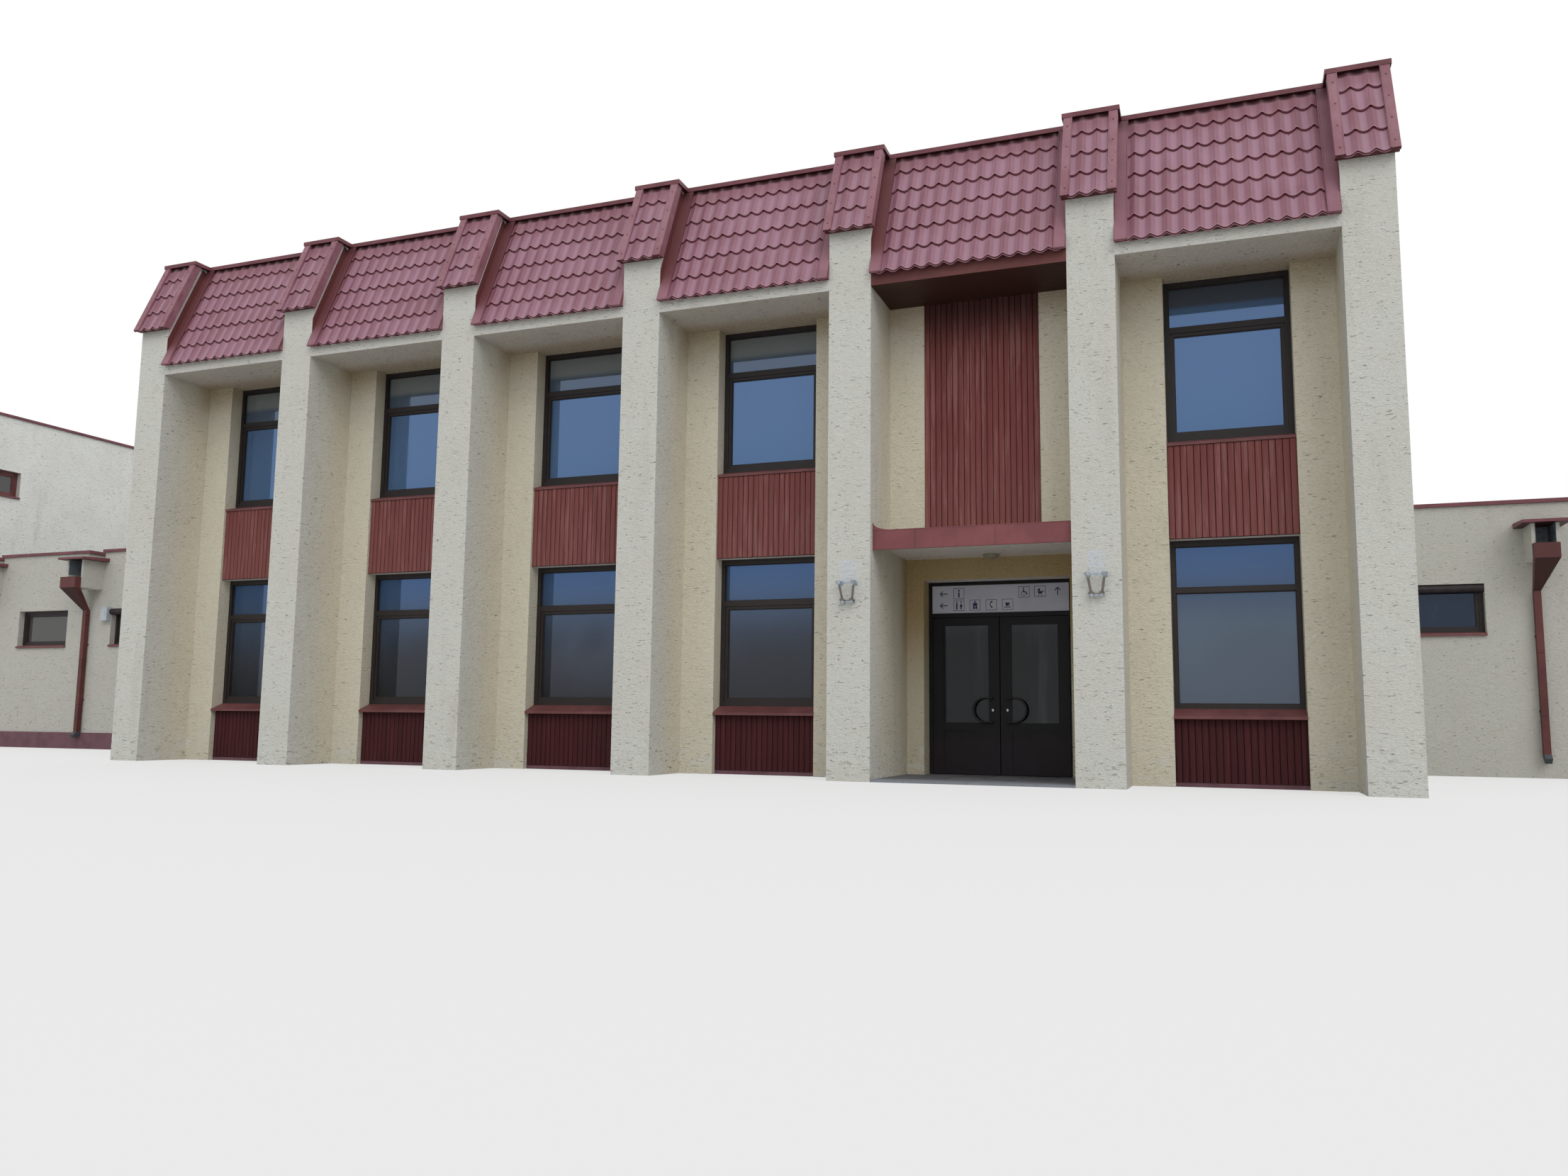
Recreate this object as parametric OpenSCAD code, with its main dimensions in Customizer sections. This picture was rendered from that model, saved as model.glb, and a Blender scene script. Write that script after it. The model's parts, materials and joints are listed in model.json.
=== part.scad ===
// Railway station building: a two-storey hall with deep piers, a tiled mansard
// edge and a recessed entrance, between two lower wings and a taller side block.
// All lengths are in millimetres. The front faces -Y and +Z is up.

/* [Bays] */
// Distance from one pier to the next
bay_pitch = 3000; // [2700:50:3300]
// Number of bays between piers, the entrance is in the last but one
bay_count = 6; // [5:1:6]
// Width of each pier
pier_w = 560; // [460:20:660]
// Depth of the recess from the pier fronts to the bay wall
recess_d = 930; // [750:10:1100]
// Depth of the hall from the pier fronts to the outside of the rear wall
block_d = 12000; // [10500:100:13000]

/* [Walls] */
// Thickness of the front wall of the bays
front_t = 420; // [380:10:480]
// Thickness of the rear and end walls
wall_t = 400; // [300:10:460]
// Thickness of the wall round the entrance door
door_wall_t = 400; // [350:10:450]
// Thickness of the walls beside the porch
return_t = 300; // [250:10:320]

/* [Heights] */
// Underside of the lower windows
lower_sill_z = 925; // [880:5:980]
// Height of the lower windows
lower_window_h = 2045; // [1900:5:2150]
// Height of the panel and sill between the lower and the upper window
spandrel_h = 1247; // [1150:1:1350]
// Height of the upper windows
upper_window_h = 2035; // [1900:5:2150]
// Thickness of the eaves slab over the upper windows
eaves_t = 150; // [120:10:180]
// Height of the mansard from the eaves slab to the coping
mansard_rise = 1865; // [1700:5:2050]
// Top of the ground floor
floor_z = 30; // [20:5:60]
// Height from the top of the lower windows to the upper floor
storey_gap = 80; // [70:5:120]
// Thickness of the upper floor
upper_floor_t = 280; // [200:10:320]
// Height of the parapet above the roof deck
parapet_h = 985; // [800:5:1150]
// Thickness of the roof decks
roof_t = 280; // [200:10:320]

/* [Mansard] */
// Width of the flat ledge between the mansard tiles and the bay wall face
top_ledge = 196; // [150:2:240]
// How far the lower edge of the bay tiles stands before the piers
bay_drip = 65; // [40:5:90]
// Height of the pier caps
cap_rise = 1247; // [1100:1:1400]
// How far the lower edge of a pier cap stands before the pier
cap_drip = 109; // [95:1:130]
// How far a pier cap stands past each side of its pier
cap_side = 45; // [20:5:60]
// Length of one tile row along the slope
tile_row = 350; // [300:10:400]
// Step at the lower edge of each tile row
tile_step = 16; // [10:1:20]
// Thickness of the mansard panel
mansard_t = 130; // [110:10:150]
// Thickness of the flat top of the mansard
ledge_t = 120; // [90:10:150]
// Thickness of the coping
coping_t = 60; // [50:5:80]
// Overhang of the coping past what it covers
coping_over = 40; // [30:5:70]
// Overhang of the coping past the sides of a pier
coping_side = 70; // [60:5:90]

/* [Windows] */
// Width of the window strip in each bay
strip_w = 1460; // [1300:20:1600]
// Distance from the wall face back to the window frames
frame_set = 220; // [200:10:240]
// Depth of the window frames
frame_d = 80; // [70:5:90]
// Width of the side and bottom members of a frame
frame_w = 66; // [55:1:75]
// Width of the top member of a frame
head_w = 84; // [70:2:95]
// Width of the sash members
sash_w = 54; // [48:2:66]
// How far a sash lies behind the frame face
sash_back = 14; // [8:1:20]
// Width and depth of the step before each pane
bead_w = 12; // [8:1:16]
// Thickness of the glass
glass_t = 24; // [20:1:30]
// Height of the fixed upper lights
light_h = 485; // [420:5:560]
// Height of the bar under the fixed upper lights
transom_h = 86; // [70:2:100]

/* [Panels] */
// Thickness of the board panels
board_t = 30; // [24:2:36]
// Setback of the upper panels from the wall face
upper_panel_back = 45; // [30:5:60]
// Setback of the lower panels from the wall face
lower_panel_back = 95; // [80:5:110]
// Height of an upper sill from its underside to the window
upper_sill_drop = 97; // [80:1:120]
// Height of a lower sill from its underside to the window
lower_sill_drop = 125; // [100:1:150]
// Thickness of the front edge of a sill
sill_nose = 34; // [24:2:44]
// Setback of the upper sill noses from the wall face
upper_nose_back = 20; // [10:2:28]
// How far the lower sill noses stand before the wall face
lower_nose_out = 14; // [6:2:20]
// Height of the plinth strip under the lower panels
plinth_strip_h = 50; // [30:5:80]

/* [Entrance] */
// Distance from the pier fronts to the entrance wall
porch_d = 1800; // [1600:20:1900]
// Width of the door opening
door_w = 1965; // [1800:5:2050]
// Height of the wall over the door opening
door_head_h = 380; // [300:10:450]
// Distance from the entrance wall face back to the door frame
door_set = 300; // [260:10:310]
// Depth of the door frame
door_frame_d = 80; // [70:5:90]
// Width of the door frame members
door_frame_w = 50; // [40:5:60]
// Height of the bar, sign and frame over the door leaves
overdoor_h = 500; // [440:10:560]
// Height of the bar between the leaves and the sign
door_bar_h = 62; // [50:2:80]
// Thickness of the door leaves
leaf_t = 60; // [50:2:66]
// Clearance round each door leaf
leaf_gap = 6; // [5:1:8]
// Clearance between the two leaves
leaf_meet_gap = 12; // [12:1:16]
// Width of the leaf stiles
stile_w = 150; // [130:5:160]
// Height of the leaf rails
rail_h = 108; // [90:2:120]
// Underside of the door glass
door_glass_z = 735; // [700:5:800]
// Height of the bow handle
handle_h = 325; // [300:5:350]
// Length of the straight ends of the bow handle
handle_leg = 95; // [80:5:110]
// Distance from the edge of a leaf to the feet of its handle
handle_edge = 96; // [85:1:105]
// Height of the middle of the handles
handle_z = 905; // [850:5:1000]
// Diameter of the lock discs
lock_d = 40; // [34:2:46]
// Diameter of the hinge knuckles
knuckle_d = 20; // [16:1:24]
// Height of one hinge knuckle
knuckle_h = 60; // [45:5:75]
// Diameter of the hinge pins
pin_d = 10; // [8:1:12]
// Radial clearance of the hinge pins
pin_fit = 0.05; // [0.02:0.01:0.1]
// Distance from the hinge pins to the door faces
hinge_off = 12; // [12:1:15]
// Thickness of the bow handle
handle_d = 26; // [20:1:30]
// Gap between a leaf and the middle of its handle
handle_off = 60; // [50:2:80]
// Width of the board panel over the entrance
logo_panel_w = 1500; // [1300:20:1700]
// Distance from the pier fronts to the canopy edge
canopy_back = 100; // [60:10:150]
// Thickness of the canopy slab
canopy_t = 90; // [70:5:110]
// How far the canopy edge hangs below the slab
canopy_lip = 100; // [80:5:120]
// How far the canopy edge rises above the slab
canopy_up = 60; // [40:5:80]
// Rise of the bent left end of the canopy's sheet edge
curl_h = 100; // [60:5:120]
// Width of the bent left end of the canopy's sheet edge
curl_w = 240; // [200:10:280]
// Thickness of the canopy edge
canopy_edge_t = 30; // [20:2:40]
// Diameter of the canopy lamp
lamp_d = 220; // [180:5:260]

/* [Flag sockets] */
// Height of the lower flag sockets
socket_z = 2180; // [2100:10:2300]
// Length from the lower to the upper end of the sockets
socket_len = 290; // [260:10:340]
// Reach of the sockets from the pier
socket_reach = 150; // [140:5:180]
// Outer diameter of the sockets
socket_d = 56; // [50:2:60]
// Bore of the sockets
socket_bore = 40; // [36:1:46]
// Lean of the sockets away from the pier, in degrees
socket_tilt = 10; // [5:1:15]
// Lean of the sockets away from each other, in degrees
socket_lean = 9; // [5:1:12]

/* [Wings] */
// Distance from the pier fronts to the front of the left wing
left_wing_y = 4300; // [4000:50:4800]
// Length of the left wing
left_wing_w = 11000; // [10400:50:11600]
// Distance from the pier fronts to the front of the right wing
right_wing_y = 6800; // [6400:50:7200]
// Length of the right wing
right_wing_w = 5000; // [4980:20:5400]
// Width of the taller side block
side_block_w = 4000; // [3500:50:4200]
// How far the side block stays below the hall
side_block_drop = 327; // [200:1:500]
// Underside of the wing copings
wing_z = 4190; // [4150:10:4400]
// Height of the wing parapets above the roof decks
wing_parapet_h = 610; // [550:5:680]
// Underside of the wing windows
wing_sill_z = 2190; // [2100:10:2250]
// Height of the wing windows
wing_window_h = 780; // [700:10:860]
// Width of the left wing windows
wing_window_w = 1480; // [1200:20:1500]
// Distance from the hall to the far edge of the nearer window that shows
near_window_x = 5480; // [5300:10:5600]
// Distance from the hall to the far edge of the farther window
far_window_x = 8250; // [8100:10:8400]
// Width of the right wing windows
right_window_w = 1350; // [1250:10:1360]
// Distance from the hall to the first right wing window
right_window_edge = 540; // [450:10:560]
// Distance between the right wing windows
right_window_pitch = 2660; // [2600:10:2680]
// Distance from the front of the side block to its small window
side_window_edge = 1100; // [900:20:1300]
// Underside of the small window
side_window_z = 6000; // [5700:20:6200]
// Width and height of the small window
side_window_w = 620; // [560:10:680]
// Setback of the wing window frames
wing_frame_set = 120; // [80:10:160]
// Height of the plinth of the left wing
plinth_h = 340; // [280:10:400]
// Thickness of the plinth of the left wing
plinth_t = 25; // [15:5:40]

/* [Rainwater] */
// Distance from the hall to the far edge of the middle spout on the left wing
spout_x = 6250; // [6150:10:6350]
// Distance between rain spouts on the left wing
spout_pitch = 3100; // [2950:10:3200]
// Distance from the hall to the spout on the right wing
right_spout_x = 2450; // [2300:10:2550]
// Width of the left rain spout boxes
spout_w = 470; // [420:10:500]
// Reach of the rain spout boxes from the wall
spout_d = 500; // [420:10:560]
// Height of the left rain spout boxes
spout_h = 590; // [520:10:620]
// Underside of the left rain spout boxes
spout_z = 3380; // [3340:10:3440]
// Width of the right rain spout box
right_spout_w = 370; // [340:10:400]
// Height of the right rain spout box
right_spout_h = 530; // [480:10:560]
// How much lower the right rain spout box is
right_spout_drop = 110; // [60:10:160]
// Thickness of the spout walls
spout_wall = 50; // [40:5:60]
// Thickness of the spout cap
spout_cap_t = 45; // [35:5:60]
// Rise of the spout cap towards the wall
spout_cap_rise = 35; // [20:5:50]
// Overhang of the spout cap
spout_cap_over = 130; // [80:10:150]
// Height of the rain heads
head_h = 225; // [190:5:250]
// Drop of the rain heads below the underside of the spouts
head_clear = 10; // [5:5:30]
// Depth of the rain heads
head_d = 140; // [110:10:170]
// Height of the tapered duct under a rain head
duct_h = 440; // [380:10:500]
// Width of the square downpipes
pipe_w = 95; // [80:5:110]
// Gap between a downpipe and the wall
pipe_gap = 25; // [15:5:40]
// Distance from the side of a spout to its downpipe
pipe_inset = 70; // [40:10:100]
// Underside of the downpipe feet
foot_z = 220; // [180:10:260]
// Thickness of the rain head sheet
head_t = 12; // [8:1:16]

/* [Hidden] */

render_color = "#cfc9b4";
shade_color = "#b9b19a";
tile_color = "#8c4a50";
board_color = "#6e2e2c";
dark_board_color = "#45191c";
frame_color = "#2e2624";
door_color = "#1f1c1e";
steel_color = "#a9adb0";

lower_head_z = lower_sill_z + lower_window_h;
upper_sill_z = lower_head_z + spandrel_h;
eaves_z = upper_sill_z + upper_window_h;
mansard_z = eaves_z + eaves_t;
parapet_z = mansard_z + mansard_rise;
cap_z = parapet_z - cap_rise;
upper_floor_z = lower_head_z + storey_gap;
roof_z = parapet_z - parapet_h - roof_t;
wing_roof_z = wing_z - wing_parapet_h - roof_t;
side_block_z = parapet_z - side_block_drop;
upper_sill_base = upper_sill_z - upper_sill_drop;
lower_sill_base = lower_sill_z - lower_sill_drop;
slope = (recess_d - top_ledge + bay_drip - tile_step) / mansard_rise;
bay_w = bay_pitch - pier_w;
block_w = bay_count * bay_pitch + pier_w;
entrance_bay = bay_count - 2;
strip_x = (bay_w - strip_w) / 2;
inner_y = recess_d + front_t;
rear_in_y = block_d - wall_t;
porch_back_y = porch_d + door_wall_t;
door_top_z = upper_floor_z - door_head_h;
leaf_top_z = door_top_z - overdoor_h;
entrance_x = bay_x(entrance_bay);
door_x = entrance_x + (bay_w - door_w) / 2;
canopy_z = upper_floor_z - canopy_t;
left_x = -left_wing_w;
far_left_x = left_x - side_block_w;
right_x = block_w + right_wing_w;
plan_left = far_left_x - coping_over;
plan_right = right_x + coping_over;
plan_front = -socket_reach;
plan_back = block_d + coping_over;
plan_mid_x = (plan_left + plan_right) / 2;
plan_mid_y = (plan_front + plan_back) / 2;

function pier_x(i) = i * bay_pitch;
function bay_x(i) = i * bay_pitch + pier_w;
function plain_bays() = [for (i = [0:bay_count - 1]) if (i != entrance_bay) i];

// Height and run of the tile rows from the lower edge to the coping
function row_count(rise) = ceil(rise * sqrt(1 + slope * slope) / tile_row);
function row_rise() = tile_row / sqrt(1 + slope * slope);

// Outline of the stepped outer face, as points [y, z] from the bottom up. Each row starts
// one step before the plane of the tiles and runs back to it.
function stepped_face(y0, z0, top) =
    let (n = row_count(top - z0))
    [for (i = [0:n - 1])
        for (k = [0, 1])
            let (z = k == 0 ? z0 + i * row_rise() : min(top, z0 + (i + 1) * row_rise()))
            [y0 + slope * (z - z0) + (k == 0 ? 0 : tile_step), z]];

// Everything is drawn from the first pier and then moved over its own middle
module placed() {
    translate([-plan_mid_x, -plan_mid_y, 0])
        children();
}

// Extrudes an outline in the YZ plane along X
module along_x(x, w) {
    translate([x, 0, 0])
        rotate([90, 0, 90])
            linear_extrude(w)
                children();
}

// Box from corner to corner
module span(a, b) {
    translate(a)
        cube(b - a);
}

module ground_floors() {
    color(shade_color) placed() {
        difference() {
            span([wall_t, inner_y, 0], [block_w - wall_t, rear_in_y, floor_z]);
            span([entrance_x - return_t, 0, -1],
                [entrance_x + bay_w + return_t, porch_back_y, floor_z + 1]);
        }
        span([left_x, left_wing_y + wall_t, 0], [0, rear_in_y, floor_z]);
        span([far_left_x + wall_t, left_wing_y + wall_t, 0],
            [left_x - wall_t, rear_in_y, floor_z]);
        span([block_w, right_wing_y + wall_t, 0], [right_x - wall_t, rear_in_y, floor_z]);
    }
}

module upper_floors() {
    color(shade_color) placed() {
        span([wall_t, inner_y, upper_floor_z],
            [block_w - wall_t, rear_in_y, upper_floor_z + upper_floor_t]);
        span([far_left_x + wall_t, left_wing_y + wall_t, upper_floor_z],
            [left_x - wall_t, rear_in_y, upper_floor_z + upper_floor_t]);
    }
}

module roof_decks() {
    color("#5a5754") placed() {
        span([wall_t, inner_y, roof_z], [block_w - wall_t, rear_in_y, roof_z + roof_t]);
        span([left_x, left_wing_y + wall_t, wing_roof_z],
            [0, rear_in_y, wing_roof_z + roof_t]);
        span([far_left_x + wall_t, left_wing_y + wall_t, roof_z],
            [left_x - wall_t, rear_in_y, roof_z + roof_t]);
        span([block_w, right_wing_y + wall_t, wing_roof_z],
            [right_x - wall_t, rear_in_y, wing_roof_z + roof_t]);
    }
}

module front_piers() {
    color(render_color) placed()
        for (i = [0:bay_count])
            along_x(pier_x(i), pier_w)
                polygon([[0, 0], [inner_y, 0], [inner_y, parapet_z],
                    [slope * (parapet_z - cap_z), parapet_z], [0, cap_z]]);
}

// Wall of one bay with its window strip
module bay_wall(x) {
    difference() {
        span([x, recess_d, 0], [x + bay_w, inner_y, parapet_z]);
        // Outer reveals of both windows, down to the undersides of the sills
        for (z = [[upper_sill_base, eaves_z], [lower_sill_base, lower_head_z]])
            span([x + strip_x, recess_d - 1, z[0]],
                [x + strip_x + strip_w, recess_d + frame_set, z[1]]);
        // Window openings
        for (z = [[upper_sill_z, eaves_z], [lower_sill_z, lower_head_z]])
            span([x + strip_x, recess_d, z[0]], [x + strip_x + strip_w, inner_y + 1, z[1]]);
        // Shallow beds of the board panels
        span([x + strip_x, recess_d - 1, lower_head_z - 1],
            [x + strip_x + strip_w, recess_d + upper_panel_back + board_t, upper_sill_base + 1]);
        span([x + strip_x, recess_d - 1, -1],
            [x + strip_x + strip_w, recess_d + lower_panel_back + board_t, lower_sill_base + 1]);
    }
}

module front_wall() {
    color(shade_color) placed()
        for (i = plain_bays())
            bay_wall(bay_x(i));
}

module entrance_upper_wall() {
    px = entrance_x + (bay_w - logo_panel_w) / 2;
    color(shade_color) placed()
        difference() {
            span([entrance_x, recess_d, upper_floor_z], [entrance_x + bay_w, inner_y, parapet_z]);
            span([px, recess_d - 1, upper_floor_z - 1],
                [px + logo_panel_w, recess_d + board_t, eaves_z]);
        }
}

module entrance_return_walls() {
    color(shade_color) placed()
        for (x = [entrance_x - return_t, entrance_x + bay_w])
            span([x, inner_y, 0], [x + return_t, porch_d, upper_floor_z]);
}

module entrance_wall_left() {
    color(shade_color) placed()
        span([entrance_x - return_t, porch_d, 0], [door_x, porch_back_y, upper_floor_z]);
}

module entrance_wall_right() {
    color(shade_color) placed()
        span([door_x + door_w, porch_d, 0],
            [entrance_x + bay_w + return_t, porch_back_y, upper_floor_z]);
}

module entrance_wall_over() {
    color(shade_color) placed()
        span([door_x, porch_d, door_top_z], [door_x + door_w, porch_back_y, upper_floor_z]);
}

// Walls that stand across the length of the building
module end_walls() {
    color(render_color) placed() {
        for (x = [0, block_w - wall_t])
            span([x, inner_y, 0], [x + wall_t, block_d, parapet_z]);
        span([far_left_x, left_wing_y, 0], [far_left_x + wall_t, block_d, side_block_z]);
        difference() {
            span([left_x - wall_t, left_wing_y, 0], [left_x, block_d, side_block_z]);
            span([left_x - wall_t - 1, side_window_y, side_window_z],
                [left_x + 1, side_window_y + side_window_w, side_window_z + side_window_w]);
        }
        span([right_x - wall_t, right_wing_y, 0], [right_x, block_d, wing_z]);
    }
}
side_window_y = left_wing_y + side_window_edge;

// Left edges of the wing windows
left_window_x = [-near_window_x, -far_window_x, -near_window_x + spout_pitch];
right_window_x = [for (i = [0, 1]) block_w + right_window_edge + i * right_window_pitch];
wing_head_z = wing_sill_z + wing_window_h;

function rear_x(i) = bay_x(i) + strip_x;
rear_levels = [[lower_sill_z, lower_head_z], [upper_sill_z, eaves_z]];
left_rear_x = [for (i = [0:2]) -near_window_x + (i - 1) * spout_pitch];
right_rear_x = right_window_x;

module rear_walls() {
    color(shade_color) placed() {
        difference() {
            span([wall_t, rear_in_y, 0], [block_w - wall_t, block_d, parapet_z]);
            for (i = [0:bay_count - 1], z = rear_levels)
                span([rear_x(i), rear_in_y - 1, z[0]],
                    [rear_x(i) + strip_w, block_d + 1, z[1]]);
        }
        difference() {
            span([left_x, rear_in_y, 0], [0, block_d, wing_z]);
            for (x = left_rear_x)
                span([x, rear_in_y - 1, wing_sill_z],
                    [x + wing_window_w, block_d + 1, wing_head_z]);
        }
        difference() {
            span([far_left_x + wall_t, rear_in_y, 0], [left_x - wall_t, block_d, side_block_z]);
            for (z = rear_levels)
                span([side_rear_x, rear_in_y - 1, z[0]],
                    [side_rear_x + strip_w, block_d + 1, z[1]]);
        }
        difference() {
            span([block_w, rear_in_y, 0], [right_x - wall_t, block_d, wing_z]);
            for (x = right_rear_x)
                span([x, rear_in_y - 1, wing_sill_z],
                    [x + right_window_w, block_d + 1, wing_head_z]);
        }
    }
}
side_rear_x = far_left_x + (side_block_w - strip_w) / 2;

module wing_front_walls() {
    color(render_color) placed() {
        difference() {
            span([left_x, left_wing_y, 0], [0, left_wing_y + wall_t, wing_z]);
            for (x = left_window_x)
                span([x, left_wing_y - 1, wing_sill_z],
                    [x + wing_window_w, left_wing_y + wall_t + 1, wing_head_z]);
            for (q = spouts)
                if (q[5])
                    span([q[0], left_wing_y - 1, q[2] + q[4]],
                        [q[0] + q[3], left_wing_y + wall_t + 1, wing_z + 1]);
        }
        difference() {
            span([far_left_x + wall_t, left_wing_y, 0],
                [left_x - wall_t, left_wing_y + wall_t, side_block_z]);
            for (z = rear_levels)
                span([side_rear_x, left_wing_y - 1, z[0]],
                    [side_rear_x + strip_w, left_wing_y + wall_t + 1, z[1]]);
        }
        difference() {
            span([block_w, right_wing_y, 0], [right_x - wall_t, right_wing_y + wall_t, wing_z]);
            for (x = right_window_x)
                span([x, right_wing_y - 1, wing_sill_z],
                    [x + right_window_w, right_wing_y + wall_t + 1, wing_head_z]);
        }
    }
}

module spandrel_panels() {
    color(board_color) placed()
        for (i = plain_bays())
            span([bay_x(i) + strip_x, recess_d + upper_panel_back, lower_head_z],
                [bay_x(i) + strip_x + strip_w, recess_d + upper_panel_back + board_t,
                    upper_sill_base]);
}

module apron_panels() {
    color(dark_board_color) placed()
        for (i = plain_bays())
            span([bay_x(i) + strip_x, recess_d + lower_panel_back, plinth_strip_h],
                [bay_x(i) + strip_x + strip_w, recess_d + lower_panel_back + board_t,
                    lower_sill_base]);
}

module entrance_panel() {
    px = entrance_x + (bay_w - logo_panel_w) / 2;
    color(board_color) placed()
        span([px, recess_d, upper_floor_z], [px + logo_panel_w, recess_d + board_t, eaves_z]);
}

module plinths() {
    color("#6b4850") placed() {
        for (i = plain_bays())
            span([bay_x(i) + strip_x, recess_d + lower_panel_back - 5, 0],
                [bay_x(i) + strip_x + strip_w, recess_d + lower_panel_back + board_t,
                    plinth_strip_h]);
        span([left_x, left_wing_y - plinth_t, 0], [0, left_wing_y, plinth_h]);
    }
}

// Opening through a frame with a step before the pane
module pane_cut(x0, z0, x1, z1) {
    span([x0, -1, z0], [x1, frame_d + 1, z1]);
    span([x0 - bead_w, -1, z0 - bead_w], [x1 + bead_w, frame_d / 2 - bead_w, z1 + bead_w]);
}

// Heights of the light and of the bar under it, in a window of height h
function light_top(h) = h - head_w;
function light_base(h) = h - head_w - light_h;
function bar_base(h, light) = light ? light_base(h) - transom_h : h - frame_w;

// Window frame in the XZ plane with its outer face at y = 0: a fixed light over a sash
module framed_window(w, h, sash = true, light = true) {
    top = bar_base(h, light);
    edge = sash ? frame_w + sash_w : frame_w;
    difference() {
        cube([w, frame_d, h]);
        if (light)
            pane_cut(frame_w, light_base(h), w - frame_w, light_top(h));
        if (sash)
            span([frame_w, -1, frame_w], [w - frame_w, sash_back, top]);
        pane_cut(edge, edge, w - edge, top - (sash ? sash_w : 0));
    }
}

// Panes of a framed window, each a tight fit in its frame
module panes(w, h, sash = true, light = true) {
    glass_y = frame_d / 2;
    edge = sash ? frame_w + sash_w : frame_w;
    if (light)
        span([frame_w, glass_y, light_base(h)], [w - frame_w, glass_y + glass_t, light_top(h)]);
    span([edge, glass_y, edge],
        [w - edge, glass_y + glass_t, bar_base(h, light) - (sash ? sash_w : 0)]);
}

upper_h = upper_window_h;
lower_h = lower_window_h;

// The last bay has one fixed lower pane
function has_sash(i, lower) = !(lower && i == bay_count - 1);

module front_window_frames() {
    color(frame_color) placed()
        for (i = plain_bays())
            translate([bay_x(i) + strip_x, recess_d + frame_set, 0]) {
                translate([0, 0, upper_sill_z])
                    framed_window(strip_w, upper_h);
                translate([0, 0, lower_sill_z])
                    framed_window(strip_w, lower_h, sash = has_sash(i, true));
            }
}

// Turns a window round so that its outer face looks along +Y
module facing_rear(x, w) {
    translate([x + w, block_d - wing_frame_set, 0])
        rotate([0, 0, 180])
            children();
}

wing_h = wing_window_h;

// Calls children with every rear window in turn
module each_rear_window(glass = false) {
    for (i = [0:bay_count])
        let (x = i < bay_count ? rear_x(i) : side_rear_x)
        facing_rear(x, strip_w)
            for (k = [0, 1])
                translate([0, 0, rear_levels[k][0]]) {
                    if (glass)
                        panes(strip_w, k == 0 ? lower_h : upper_h);
                    else
                        framed_window(strip_w, k == 0 ? lower_h : upper_h);
                }
    for (x = left_rear_x)
        facing_rear(x, wing_window_w)
            translate([0, 0, wing_sill_z]) {
                if (glass)
                    panes(wing_window_w, wing_h, light = false);
                else
                    framed_window(wing_window_w, wing_h, light = false);
            }
    for (x = right_rear_x)
        facing_rear(x, right_window_w)
            translate([0, 0, wing_sill_z]) {
                if (glass)
                    panes(right_window_w, wing_h, light = false);
                else
                    framed_window(right_window_w, wing_h, light = false);
            }
}

module rear_window_frames() {
    color(frame_color) placed()
        each_rear_window();
}

// Places children as windows of the wings and the side block that show from the front
module each_wing_window(glass = false) {
    for (x = left_window_x)
        translate([x, left_wing_y + wing_frame_set, wing_sill_z]) {
            if (glass)
                panes(wing_window_w, wing_h, light = false);
            else
                framed_window(wing_window_w, wing_h, light = false);
        }
    for (x = right_window_x)
        translate([x, right_wing_y + wing_frame_set, wing_sill_z]) {
            if (glass)
                panes(right_window_w, wing_h, light = false);
            else
                framed_window(right_window_w, wing_h, light = false);
        }
    for (k = [0, 1])
        translate([side_rear_x, left_wing_y + wing_frame_set, rear_levels[k][0]]) {
            if (glass)
                panes(strip_w, k == 0 ? lower_h : upper_h);
            else
                framed_window(strip_w, k == 0 ? lower_h : upper_h);
        }
}

// Turns a window to look along +X, in the opening of the side block
module facing_hall() {
    translate([left_x - wing_frame_set, side_window_y, side_window_z])
        rotate([0, 0, 90])
            children();
}

module side_window_frame() {
    color(tile_color) placed()
        facing_hall()
            framed_window(side_window_w, side_window_w, light = false);
}

module wing_window_frames() {
    color(frame_color) placed()
        each_wing_window();
}

module window_glass() {
    color("#7f8f9a", 0.5) placed() {
        for (i = plain_bays())
            translate([bay_x(i) + strip_x, recess_d + frame_set, 0]) {
                translate([0, 0, upper_sill_z])
                    panes(strip_w, upper_h);
                translate([0, 0, lower_sill_z])
                    panes(strip_w, lower_h, sash = has_sash(i, true));
            }
        each_rear_window(glass = true);
        each_wing_window(glass = true);
        facing_hall()
            panes(side_window_w, side_window_w, light = false);
    }
}

// Sloping sill, its nose towards -Y, from the frame at y = 0
module sill(w, drop, reach) {
    along_x(0, w)
        polygon([[0, 0], [0, -drop], [-reach, -drop], [-reach, -drop + sill_nose]]);
}

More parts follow.
